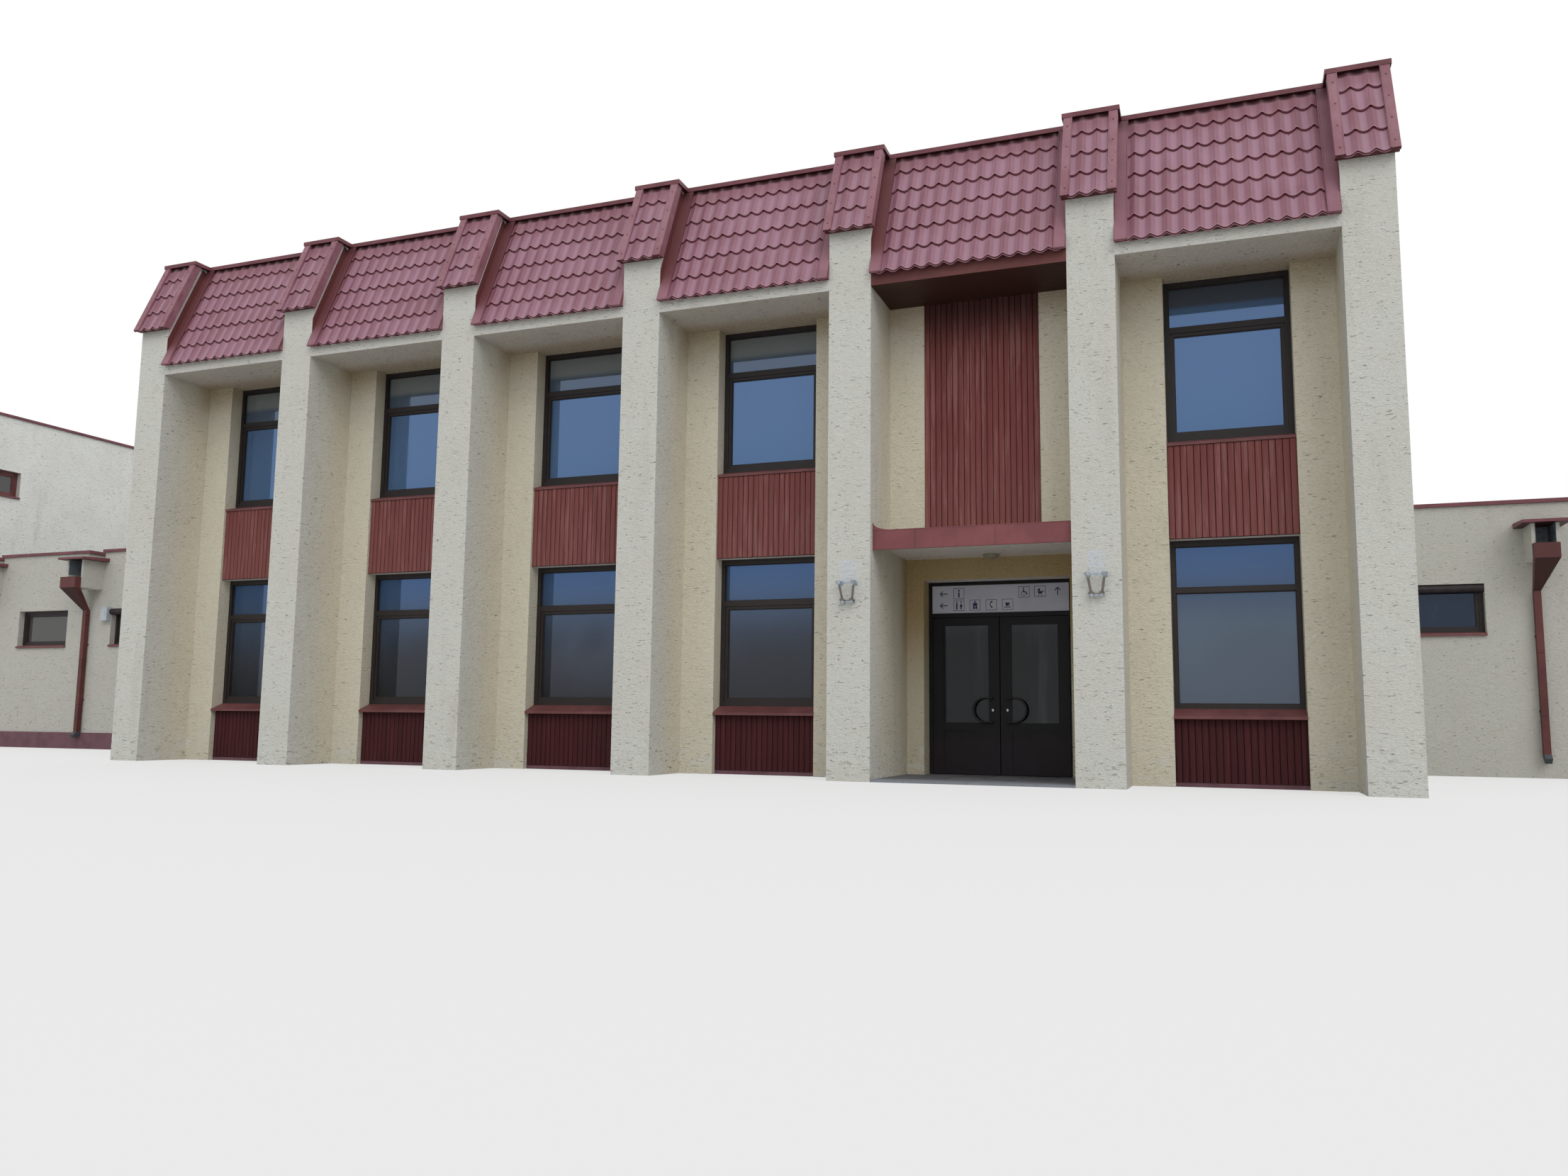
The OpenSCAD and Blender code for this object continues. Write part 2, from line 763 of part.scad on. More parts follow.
module window_sills() {
    color(tile_color) placed() {
        for (i = plain_bays())
            translate([bay_x(i) + strip_x, recess_d + frame_set, 0]) {
                translate([0, 0, upper_sill_z])
                    sill(strip_w, upper_sill_z - upper_sill_base, frame_set - upper_nose_back);
                translate([0, 0, lower_sill_z])
                    sill(strip_w, lower_sill_z - lower_sill_base, frame_set + lower_nose_out);
            }
        for (i = [0:bay_count], z = rear_levels)
            let (x = i < bay_count ? rear_x(i) : side_rear_x)
            facing_rear(x, strip_w)
                translate([0, 0, z[0]])
                    thin_sill(strip_w);
        for (x = left_rear_x)
            facing_rear(x, wing_window_w)
                translate([0, 0, wing_sill_z])
                    thin_sill(wing_window_w);
        for (x = right_rear_x)
            facing_rear(x, right_window_w)
                translate([0, 0, wing_sill_z])
                    thin_sill(right_window_w);
        for (x = left_window_x)
            translate([x, left_wing_y + wing_frame_set, wing_sill_z])
                thin_sill(wing_window_w);
        for (x = right_window_x)
            translate([x, right_wing_y + wing_frame_set, wing_sill_z])
                thin_sill(right_window_w);
        for (z = rear_levels)
            translate([side_rear_x, left_wing_y + wing_frame_set, z[0]])
                thin_sill(strip_w);
        facing_hall()
            thin_sill(side_window_w);
    }
}

// Bent metal sill that lies in the opening and hangs over the wall face
module thin_sill(w) {
    along_x(0, w)
        polygon([[0, sill_nose], [0, 0], [-wing_frame_set, 0], [-wing_frame_set, -sill_nose],
            [-wing_frame_set - coping_over, -sill_nose], [-wing_frame_set - coping_over, 6]]);
}

// Slab over the window strip, out to the front of the piers
module eaves_slabs() {
    color(render_color) placed()
        for (i = plain_bays())
            span([bay_x(i), 0, eaves_z], [bay_x(i) + bay_w, recess_d, eaves_z + eaves_t]);
}

module entrance_eaves() {
    color(tile_color) placed()
        span([entrance_x, 0, eaves_z], [entrance_x + bay_w, recess_d, eaves_z + eaves_t]);
}

// Leaning panel with stepped tile rows, carried by the eaves slab and the wall behind
module mansard_panel(x) {
    face = stepped_face(-bay_drip, mansard_z, parapet_z);
    inner_top = parapet_z - ledge_t;
    along_x(x, bay_w)
        polygon(concat(face, [[recess_d, parapet_z], [recess_d, inner_top],
            [-bay_drip + mansard_t + slope * (inner_top - mansard_z), inner_top],
            [-bay_drip + mansard_t, mansard_z]]));
}

module bay_mansards() {
    color(tile_color) placed()
        for (i = [0:bay_count - 1])
            mansard_panel(bay_x(i));
}

module pier_caps() {
    face = stepped_face(-cap_drip, cap_z, parapet_z);
    color(tile_color) placed()
        for (i = [0:bay_count])
            along_x(pier_x(i) - cap_side, pier_w + 2 * cap_side)
                polygon(concat(face, [[slope * (parapet_z - cap_z), parapet_z], [0, cap_z]]));
}

// Front edges of the copings on the piers and on the bays
pier_coping_y = -cap_drip + slope * cap_rise - coping_over;
bay_coping_y = -bay_drip + slope * mansard_rise - coping_over;

module roof_copings() {
    inner = coping_over;
    color(tile_color) placed() {
        translate([0, 0, parapet_z])
            linear_extrude(coping_t)
                difference() {
                    union() {
                        translate([-coping_over, bay_coping_y])
                            square([block_w + 2 * coping_over, plan_back - bay_coping_y]);
                        for (i = [0:bay_count])
                            translate([pier_x(i) - coping_side, pier_coping_y])
                                square([pier_w + 2 * coping_side, inner_y - pier_coping_y]);
                    }
                    translate([wall_t + inner, inner_y + inner])
                        square([block_w - 2 * wall_t - 2 * inner,
                            rear_in_y - inner_y - 2 * inner]);
                }
        wing_coping(left_x, 0, left_wing_y, wing_z, false, false);
        wing_coping(far_left_x, left_x, left_wing_y, side_block_z, true, true);
        wing_coping(block_w, right_x, right_wing_y, wing_z, false, true);
    }
}

// Coping round a wing, open where it meets a higher wall
module wing_coping(x0, x1, y0, z, left_end, right_end) {
    a = left_end ? coping_over : 0;
    b = right_end ? coping_over : 0;
    la = left_end ? wall_t + coping_over : -1;
    lb = right_end ? wall_t + coping_over : -1;
    translate([0, 0, z])
        linear_extrude(coping_t)
            difference() {
                translate([x0 - a, y0 - coping_over])
                    square([x1 - x0 + a + b, plan_back - y0 + coping_over]);
                translate([x0 + la, y0 + wall_t + coping_over])
                    square([x1 - x0 - la - lb, block_d - y0 - 2 * (wall_t + coping_over)]);
                // Gaps at the notches over the rain spouts
                for (q = spouts)
                    if (q[5] && z == wing_z && y0 == q[1])
                        translate([q[0] + coping_over, y0 - 2 * coping_over])
                            square([q[3] - 2 * coping_over, wall_t + 4 * coping_over]);
            }
}

module canopy_slab() {
    color(render_color) placed()
        span([entrance_x, canopy_back + canopy_edge_t, canopy_z],
            [entrance_x + bay_w, porch_d, upper_floor_z]);
}

// Sheet edge of the canopy, turned up in a small curve against the left pier
module canopy_edge() {
    top = upper_floor_z + canopy_up;
    color("#8a5252") placed()
        translate([entrance_x, canopy_back + canopy_edge_t, 0])
            rotate([90, 0, 0])
                linear_extrude(canopy_edge_t)
                    polygon(concat([[0, canopy_z - canopy_lip], [bay_w, canopy_z - canopy_lip],
                        [bay_w, top]],
                        [for (a = [0:15:90]) [curl_w * (1 - sin(a)), top + curl_h * (1 - cos(a))]]));
}

module canopy_lamp() {
    color("white") placed()
        translate([entrance_x + bay_w / 2, porch_d - 260, canopy_z])
            rotate([180, 0, 0]) {
                cylinder(d = lamp_d, h = 22, $fn = 48);
                translate([0, 0, 22])
                    intersection() {
                        translate([0, 0, -lamp_d * 0.37])
                            sphere(r = lamp_d * 0.59, $fn = 40);
                        cylinder(d = lamp_d * 0.92, h = 60, $fn = 40);
                    }
            }
}

module landing() {
    color("#8d8c8f") placed() {
        span([entrance_x, 0, 0], [entrance_x + bay_w, porch_d, floor_z]);
        span([door_x, porch_d, 0], [door_x + door_w, porch_back_y, floor_z]);
    }
}

pivot_x = door_frame_w + leaf_gap / 2;
leaf_w = (door_w - 2 * door_frame_w - 2 * leaf_gap - leaf_meet_gap) / 2;
leaf_z = floor_z + leaf_gap + 2;
door_y = porch_d + door_set;
sign_z = leaf_top_z + leaf_gap + door_bar_h;
hinge_z = [for (f = [0.09, 0.5, 0.86]) floor_z + f * (leaf_top_z - floor_z)];
hinge_plate = 32;
hinge_slip = 1;

// Half of a hinge on the x = 0 line of the pins: a knuckle and its plate towards side.
// The frame's half carries the pin, the leaf's half stands over it.
module hinge_half(side, on_leaf) {
    z0 = on_leaf ? knuckle_h + hinge_slip : 0;
    difference() {
        union() {
            translate([0, 0, z0])
                cylinder(d = knuckle_d, h = knuckle_h, $fn = 32);
            span([side < 0 ? -hinge_plate : 0, hinge_off - 6, z0],
                [side < 0 ? 0 : hinge_plate, hinge_off, z0 + knuckle_h]);
        }
        if (on_leaf)
            translate([0, 0, z0 - 1])
                cylinder(d = pin_d + 2 * pin_fit, h = knuckle_h + 2, $fn = 32);
    }
    if (!on_leaf)
        cylinder(d = pin_d, h = 2 * knuckle_h + hinge_slip, $fn = 32);
}

module door_frame() {
    color(door_color) placed() {
        for (z = hinge_z) {
            translate([door_x + pivot_x, door_y - hinge_off, z])
                hinge_half(-1, false);
            translate([door_x + door_w - pivot_x, door_y - hinge_off, z])
                hinge_half(1, false);
        }
        difference() {
            span([door_x, door_y, floor_z], [door_x + door_w, door_y + door_frame_d, door_top_z]);
            span([door_x + door_frame_w, door_y - 1, floor_z - 1],
                [door_x + door_w - door_frame_w, door_y + door_frame_d + 1,
                    leaf_top_z + leaf_gap]);
            span([door_x + door_frame_w, door_y - 1, sign_z],
                [door_x + door_w - door_frame_w, door_y + door_frame_d + 1,
                    door_top_z - door_frame_w]);
        }
    }
}

module door_sign() {
    color("#b4afb8") placed()
        span([door_x + door_frame_w, door_y + 12, sign_z],
            [door_x + door_w - door_frame_w, door_y + 52, door_top_z - door_frame_w]);
}

// One leaf with its lower left corner at the origin and its outer face at y = 0
module leaf_frame() {
    h = leaf_top_z - leaf_z;
    glass_z = door_glass_z - leaf_z;
    difference() {
        cube([leaf_w, leaf_t, h]);
        span([stile_w, -1, glass_z], [leaf_w - stile_w, leaf_t + 1, h - rail_h]);
        for (y = [[-1, 12], [leaf_t - 12, leaf_t + 1]])
            span([stile_w, y[0], rail_h / 2], [leaf_w - stile_w, y[1], glass_z - rail_h]);
    }
}

module leaf_glass() {
    h = leaf_top_z - leaf_z;
    span([stile_w, leaf_t / 2 - glass_t / 2, door_glass_z - leaf_z],
        [leaf_w - stile_w, leaf_t / 2 + glass_t / 2, h - rail_h]);
}

// Bow handles on both faces with a lock disc between their feet. The bow bends away from
// the other leaf, so bow is -1 on the left leaf and 1 on the right one.
module leaf_handles(bow) {
    foot = bow < 0 ? leaf_w - handle_edge : handle_edge;
    r = handle_h / 2;
    for (side = [[0, -1], [leaf_t, 1]])
        translate([foot, side[0], handle_z - leaf_z]) {
            translate([bow * handle_leg, side[1] * handle_off, 0])
                rotate([90, 0, 0])
                    intersection() {
                        rotate_extrude($fn = 48)
                            translate([r, 0])
                                circle(d = handle_d, $fn = 14);
                        translate([bow < 0 ? -handle_h : 0, -handle_h, -handle_d])
                            cube([handle_h, 2 * handle_h, 2 * handle_d]);
                    }
            for (z = [-r, r]) {
                translate([bow < 0 ? -handle_leg : 0, side[1] * handle_off, z])
                    rotate([0, 90, 0])
                        cylinder(d = handle_d, h = handle_leg, $fn = 20);
                translate([0, side[1] * handle_off, z])
                    sphere(d = handle_d, $fn = 20);
                translate([0, 0, z])
                    rotate([side[1] * -90, 0, 0])
                        cylinder(d = handle_d, h = handle_off, $fn = 20);
            }
            rotate([side[1] * -90, 0, 0])
                cylinder(d = lock_d, h = handle_d / 2, $fn = 28);
        }
}

// Leaf halves of the hinges, at the pin line on the left or right edge of a leaf
module leaf_hinges(side) {
    x = side < 0 ? -leaf_gap / 2 : leaf_w + leaf_gap / 2;
    for (z = hinge_z)
        translate([x, -hinge_off, z - leaf_z])
            hinge_half(-side, true);
}

module left_leaf_place() {
    placed()
        translate([door_x + door_frame_w + leaf_gap, door_y, leaf_z])
            children();
}

module right_leaf_place() {
    placed()
        translate([door_x + door_w - door_frame_w - leaf_gap - leaf_w, door_y, leaf_z])
            children();
}

module left_door_leaf() {
    color(door_color) left_leaf_place() {
        leaf_frame();
        leaf_hinges(-1);
    }
}

module left_door_glass() {
    color("#7f8f9a", 0.5) left_leaf_place() leaf_glass();
}

module left_door_handles() {
    color("#2b2b2d") left_leaf_place() leaf_handles(-1);
}

module right_door_leaf() {
    color(door_color) right_leaf_place() {
        leaf_frame();
        leaf_hinges(1);
    }
}

module right_door_glass() {
    color("#7f8f9a", 0.5) right_leaf_place() leaf_glass();
}

module right_door_handles() {
    color("#2b2b2d") right_leaf_place() leaf_handles(1);
}

// Twin holders for flag staffs: each has a ring over a cup on one leaning line, held off
// the pier by straps
socket_off = socket_reach - socket_len * sin(socket_tilt) - socket_d / 2 * cos(socket_tilt);
socket_foot = 55;
strap_w = 30;
strap_t = 6;

// Middle of the socket wall behind a point at length s along the socket
function strap_y(s) = -socket_off - s * sin(socket_tilt) + (socket_d + socket_bore) / 4;
function strap_x(s) = socket_foot + s * cos(socket_tilt) * sin(socket_lean);
function strap_z(s) = s * cos(socket_tilt) * cos(socket_lean);

module flag_socket() {
    cup = 60;
    ring = 45;
    for (side = [-1, 1]) {
        translate([side * socket_foot, -socket_off, 0])
            rotate([socket_tilt, side * socket_lean, 0]) {
                difference() {
                    cylinder(d = socket_d, h = cup, $fn = 28);
                    translate([0, 0, 8])
                        cylinder(d = socket_bore, h = cup, $fn = 28);
                }
                translate([0, 0, socket_len - ring])
                    difference() {
                        cylinder(d = socket_d, h = ring, $fn = 28);
                        translate([0, 0, -1])
                            cylinder(d = socket_bore, h = ring + 2, $fn = 28);
                    }
                translate([-strap_w / 2, socket_bore / 2 + 1, 10])
                    cube([strap_w, strap_t, socket_len - 20]);
            }
        for (s = [cup / 2, socket_len - ring / 2])
            translate([side * strap_x(s), 0, strap_z(s)]) {
                span([-strap_t / 2, strap_y(s), -strap_w / 2], [strap_t / 2, 0, strap_w / 2]);
                span([-25, -strap_t, -25], [25, 0, 25]);
            }
    }
    for (s = [cup / 2, socket_len - ring / 2])
        span([-strap_x(s), strap_y(s), strap_z(s) - strap_w / 2],
            [strap_x(s), strap_y(s) + strap_t, strap_z(s) + strap_w / 2]);
}

module flag_sockets() {
    color(steel_color) placed()
        for (i = [entrance_bay, entrance_bay + 1])
            translate([pier_x(i) + pier_w / 2, 0, socket_z])
                flag_socket();
}

// Roller shutter box with a rounded outer face: the near one on the left wing stands out
// of the wall, the right ones end in line with it
shutter_h = 130;
shutter_d = 130;

module shutter_box(w, out) {
    r = shutter_h / 2;
    along_x(0, w)
        polygon(concat([[0, 0], [0, shutter_h]],
            [for (a = [90:-15:-90]) [-shutter_d - out + r * (1 - cos(a)), r + r * sin(a)]]));
}

module shutter_boxes() {
    color("#2a2224") placed() {
        translate([left_window_x[0], left_wing_y + wing_frame_set, wing_head_z - shutter_h])
            shutter_box(wing_window_w, 50);
        for (x = right_window_x)
            translate([x, right_wing_y + wing_frame_set, wing_head_z - shutter_h])
                shutter_box(right_window_w, wing_frame_set - shutter_d);
    }
}

module wall_box() {
    color("#d5d3ca") placed()
        translate([-near_window_x - 200, left_wing_y, wing_head_z - 265])
            difference() {
                span([0, -110, 0], [190, 0, 300]);
                span([20, -111, 20], [170, -102, 280]);
            }
}

// Rain spouts as [left edge, wall, underside, width, height, notch in the parapet]
left_spouts = [for (i = [-1:1]) [-spout_x - i * spout_pitch, left_wing_y, spout_z, spout_w,
    spout_h, true]];
spouts = concat(left_spouts, [[block_w + right_spout_x, right_wing_y,
    spout_z - right_spout_drop, right_spout_w, right_spout_h, false]]);

module spout_boxes() {
    color(render_color) placed()
        for (q = spouts)
            translate([q[0], q[1], q[2]])
                difference() {
                    span([0, -spout_d, 0], [q[3], 0, q[4]]);
                    span([spout_wall, -spout_d - 1, head_h - head_clear],
                        [q[3] - spout_wall, -spout_wall, q[4] + 1]);
                }
}

// Sloping lid over each spout, with a tongue through the notch behind it
module spout_caps() {
    color(tile_color) placed()
        for (q = spouts)
            translate([q[0], q[1], q[2] + q[4]]) {
                along_x(-spout_cap_over, q[3] + 2 * spout_cap_over)
                    polygon([[0, 0], [-spout_d - spout_cap_over, 0],
                        [-spout_d - spout_cap_over, spout_cap_t],
                        [0, spout_cap_t + spout_cap_rise]]);
                if (q[5])
                    span([0, 0, 0], [q[3], wall_t, spout_cap_t]);
            }
}

// Rain head before a spout mouth, a duct that tapers back to the wall and a square pipe
// that ends in a shoe. q is one of spouts.
module downpipe(q) {
    w = q[3] - pipe_inset / 2;
    head_z = q[2] - head_clear;
    top_z = head_z - duct_h;
    back = -pipe_gap;
    front = -pipe_gap - pipe_w;
    translate([0, -spout_d - head_d, head_z])
        difference() {
            cube([w, head_d, head_h]);
            translate([head_t, head_t, head_t])
                cube([w - 2 * head_t, head_d - 2 * head_t, head_h]);
        }
    intersection() {
        along_x(0, w)
            polygon([[-spout_d - head_d, head_z], [-spout_d, head_z], [back, top_z],
                [front, top_z]]);
        rotate([90, 0, 0])
            linear_extrude(2 * spout_d)
                polygon([[0, head_z], [w, head_z], [pipe_inset + pipe_w, top_z],
                    [pipe_inset, top_z]]);
    }
    along_x(pipe_inset, pipe_w)
        polygon([[back, top_z], [front, top_z], [front, foot_z + 1.5 * pipe_w],
            [front - 0.7 * pipe_w, foot_z + 0.8 * pipe_w], [front, foot_z],
            [back, foot_z + pipe_w]]);
    for (z = [0.35, 0.75] * top_z)
        span([pipe_inset - 6, -pipe_gap - pipe_w / 2, z],
            [pipe_inset + pipe_w + 6, 0, z + 30]);
}

module downpipes() {
    color(tile_color) placed()
        for (q = spouts)
            translate([q[0], q[1], 0])
                downpipe(q);
}

ground_floors();
upper_floors();
roof_decks();
front_piers();
front_wall();
entrance_upper_wall();
entrance_return_walls();
entrance_wall_left();
entrance_wall_right();
entrance_wall_over();
end_walls();
rear_walls();
wing_front_walls();
spandrel_panels();
apron_panels();
entrance_panel();
plinths();
front_window_frames();
rear_window_frames();
wing_window_frames();
window_glass();
window_sills();
eaves_slabs();
entrance_eaves();
bay_mansards();
pier_caps();
roof_copings();
canopy_slab();
canopy_edge();
canopy_lamp();
landing();
door_frame();
door_sign();
left_door_leaf();
left_door_glass();
left_door_handles();
right_door_leaf();
right_door_glass();
right_door_handles();
flag_sockets();
shutter_boxes();
spout_boxes();
spout_caps();
downpipes();
side_window_frame();
wall_box();
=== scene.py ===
import json
from math import atan, ceil, cos, pi, radians, sin

import bmesh
import bpy
from mathutils import Matrix, Vector


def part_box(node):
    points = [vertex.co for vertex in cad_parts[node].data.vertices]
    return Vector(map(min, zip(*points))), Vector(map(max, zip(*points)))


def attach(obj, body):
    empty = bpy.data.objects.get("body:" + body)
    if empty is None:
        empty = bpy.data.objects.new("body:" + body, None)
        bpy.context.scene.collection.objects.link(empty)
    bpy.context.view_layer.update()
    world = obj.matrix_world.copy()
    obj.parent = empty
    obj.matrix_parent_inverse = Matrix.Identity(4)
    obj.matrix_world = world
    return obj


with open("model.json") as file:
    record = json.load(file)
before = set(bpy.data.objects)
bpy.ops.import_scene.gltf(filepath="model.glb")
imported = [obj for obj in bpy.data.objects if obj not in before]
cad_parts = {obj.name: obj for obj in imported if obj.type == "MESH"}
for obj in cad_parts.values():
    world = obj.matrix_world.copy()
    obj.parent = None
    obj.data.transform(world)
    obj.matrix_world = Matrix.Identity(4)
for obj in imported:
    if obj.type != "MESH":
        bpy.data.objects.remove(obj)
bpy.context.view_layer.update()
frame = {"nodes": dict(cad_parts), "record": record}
nodes = frame["nodes"]
body = "building"  # every piece made here rides on it

# the building's own corner: left edge of the first pier, pier front, ground
corner = Vector(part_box("front_piers")[0])
corner.z = 0.0


def at(x, y, z):  # metres from that corner
    return Vector((corner.x + x, corner.y + y, z))


hall = {  # metres: heights over the ground, depths from the pier fronts
    "bays": 6, "entrance": 4, "pitch": 3.0, "pier": 0.56, "strip": 1.46,
    "capBase": 7.02, "tileBase": 6.402, "top": 8.267,
    "tileFront": -0.065, "capFront": -0.109, "capSide": 0.045,
    "slopeBack": 0.783, "row": 0.350, "step": 0.016,
}
hallWidth = hall["bays"] * hall["pitch"] + hall["pier"]
bayWidth = hall["pitch"] - hall["pier"]
capWidth = hall["pier"] + 2 * hall["capSide"]
leanAngle = atan(hall["slopeBack"] / (hall["top"] - hall["tileBase"]))
leanSine, leanCosine = sin(leanAngle), cos(leanAngle)
bays, piers = range(hall["bays"]), range(hall["bays"] + 1)


def bayLeft(i):
    return i * hall["pitch"] + hall["pier"]


def capLeft(i):
    return i * hall["pitch"] - hall["capSide"]


entranceLeft = corner.x + hall["entrance"] * hall["pitch"]
doorMiddle = corner.x + bayLeft(hall["entrance"]) + bayWidth / 2
lastPier = corner.x + (hall["bays"] - 1) * hall["pitch"]  # the pier left of the last bay


def mathStep(operation, turned=False):  # one sum of a shader or geometry tree, as a method
    def step(self, value=0.0):
        first, second = (value, self) if turned else (self, value)
        return self.graph.node("ShaderNodeMath", {"operation": operation}, {0: first, 1: second})
    return step


class Link:  # an output socket that takes part in sums
    def __init__(self, graph, socket):
        self.graph = graph
        self.socket = socket

    def other(self, name):  # another output of the same node
        return Link(self.graph, self.socket.node.outputs[name])

    floor = mathStep("FLOOR")
    size = mathStep("ABSOLUTE")
    least = mathStep("MINIMUM")
    most = mathStep("MAXIMUM")
    sine = mathStep("SINE")
    cosine = mathStep("COSINE")
    __add__ = mathStep("ADD")
    __radd__ = mathStep("ADD", True)
    __sub__ = mathStep("SUBTRACT")
    __rsub__ = mathStep("SUBTRACT", True)
    __mul__ = mathStep("MULTIPLY")
    __rmul__ = mathStep("MULTIPLY", True)
    __truediv__ = mathStep("DIVIDE")
    __pow__ = mathStep("POWER")
    __gt__ = mathStep("GREATER_THAN")
    __mod__ = mathStep("FLOORED_MODULO")


class Graph:
    def __init__(self, tree):
        self.tree = tree

    def node(self, kind, settings=None, inputs=None, output=0):
        made = self.tree.nodes.new(kind)
        for key, value in (settings or {}).items():
            setattr(made, key, value)
        for key, value in (inputs or {}).items():
            if isinstance(value, Link):
                self.tree.links.new(value.socket, made.inputs[key])
            else:
                made.inputs[key].default_value = value
        return Link(self, made.outputs[output]) if made.outputs else made


def emptied(holder):  # the cleared node tree of a material or the world
    holder.use_nodes = True
    holder.node_tree.nodes.clear()
    return holder.node_tree


def objectOf(name, data):
    made = bpy.data.objects.new(name, data)
    bpy.context.scene.collection.objects.link(made)
    return made


def paint(red, green, blue):  # 0-255 screen values to what a shader takes
    def linear(c):
        c = c / 255
        return c / 12.92 if c <= 0.04045 else ((c + 0.055) / 1.055) ** 2.4
    return (linear(red), linear(green), linear(blue), 1.0)


class Finish(Graph):  # one procedural material, with its colours by name
    def __init__(self, name, colours):
        self.colours = colours
        self.material = bpy.data.materials.new(name)
        super().__init__(emptied(self.material))
        self.place = self.node("ShaderNodeTexCoord", output="Object")
        axes = self.node("ShaderNodeSeparateXYZ", {}, {0: self.place})
        self.x, self.y, self.z = axes, axes.other("Y"), axes.other("Z")

    def noise(self, scale, detail=3.0, rough=0.55, sizes=None):
        vector = self.place
        if sizes:
            vector = self.node("ShaderNodeMapping", {}, {"Vector": self.place, "Scale": sizes})
        return self.node("ShaderNodeTexNoise", {},
                         {"Vector": vector, "Scale": scale, "Detail": detail, "Roughness": rough})

    def band(self, value, low, high):  # smooth 0 to 1 between low and high
        return self.node("ShaderNodeMapRange", {"interpolation_type": "SMOOTHSTEP"},
                         {"Value": value, "From Min": low, "From Max": high})

    def between(self, value, low, high, soft):  # 1 inside, 0 outside
        return self.band(value, low - soft, low + soft) * self.band(value, high + soft, high - soft)

    def facing(self, axis):  # how far a face looks along an axis
        normal = self.node("ShaderNodeNewGeometry", output="Normal")
        return self.node("ShaderNodeSeparateXYZ", {}, {0: normal}, axis)

    def underside(self):  # 1 on faces that look down
        return self.band(self.facing("Z"), -0.5, -0.8)

    def blend(self, factor, first, second):
        return self.node("ShaderNodeMix", {"data_type": "RGBA"},
                         {0: factor, 6: first, 7: second}, output=2)

    def ground(self, first, second, factor):  # the first coat, of two named colours
        return self.blend(factor, paint(*self.colours[first]), paint(*self.colours[second]))

    def coat(self, colour, over, factor):  # a named colour over what is there
        return self.blend(factor, colour, paint(*self.colours[over]))

    def ramp(self, value, low, high, stops):  # colours at places between low and high
        made = self.node("ShaderNodeValToRGB", {}, {0: (value - low) / (high - low)})
        elements = made.socket.node.color_ramp.elements
        while len(elements) < len(stops):
            elements.new(0.5)
        for element, (place, colour) in zip(elements, stops):
            element.position = (place - low) / (high - low)
            element.color = paint(*colour)
        return made

    def choice(self, count, offset=0.0):  # one random number for each whole number
        return self.node("ShaderNodeTexWhiteNoise", {"noise_dimensions": "1D"},
                         {"W": count.floor() + offset}, output="Value")

    def bump(self, height, distance, strength):
        values = {"Height": height, "Distance": distance, "Strength": strength}
        return self.node("ShaderNodeBump", {}, values, "Normal")

    def surface(self, **values):
        names = {"colour": "Base Color", "rough": "Roughness", "metal": "Metallic",
                 "normal": "Normal", "alpha": "Alpha", "specular": "Specular IOR Level"}
        shader = self.node("ShaderNodeBsdfPrincipled", {},
                           {names[key]: value for key, value in values.items()})
        self.node("ShaderNodeOutputMaterial", {}, {"Surface": shader})
        return self.material

    def sheetMetal(self, colour, fade):
        return self.surface(colour=colour, rough=0.42 + fade * 0.14, specular=0.32,
                            normal=self.bump(self.noise(7, 2), 0.0015, 0.4))


walls = {  # screen colours from the faces out in the rain to the back of the porch; the yellower set-back colour is partly paint and partly painted shade, the tan porch colours, darker high up, are painted shade
    "front": (207, 206, 199), "setBack": (215, 208, 189), "deep": (184, 158, 112),
    # end: the brighter colour of sideways faces at the ends, painted light
    "deepLow": (198, 190, 167), "wing": (191, 189, 181), "end": (234, 235, 230),
    "soffit": (196, 188, 180), "soffitLow": (238, 231, 226),
    # stain: painted shade under the eaves
    "stain": (164, 140, 104), "grime": (150, 142, 124), "cloud": (176, 170, 150),
    "patch": (202, 207, 213), "peel": (212, 213, 208), "chip": (132, 126, 110),
    # pit and crest: painted shade and painted highlight on the rough grain
    "crack": (122, 114, 98), "pitShade": (146, 140, 124), "crest": (224, 223, 216),
    "bayDepth": (0.0, 0.75), "porchDepth": (1.35, 1.78), "porchHeight": (2.5, 1.0),
    "canopyHeight": (4.0, 3.5), "eaves": 6.5, "foot": (0.75, 0.1),
    "patchHeight": (2.47, 2.73), "patchWidth": 0.2, "patchReach": 1.9,
    "grain": 34, "bump": 0.014,
}


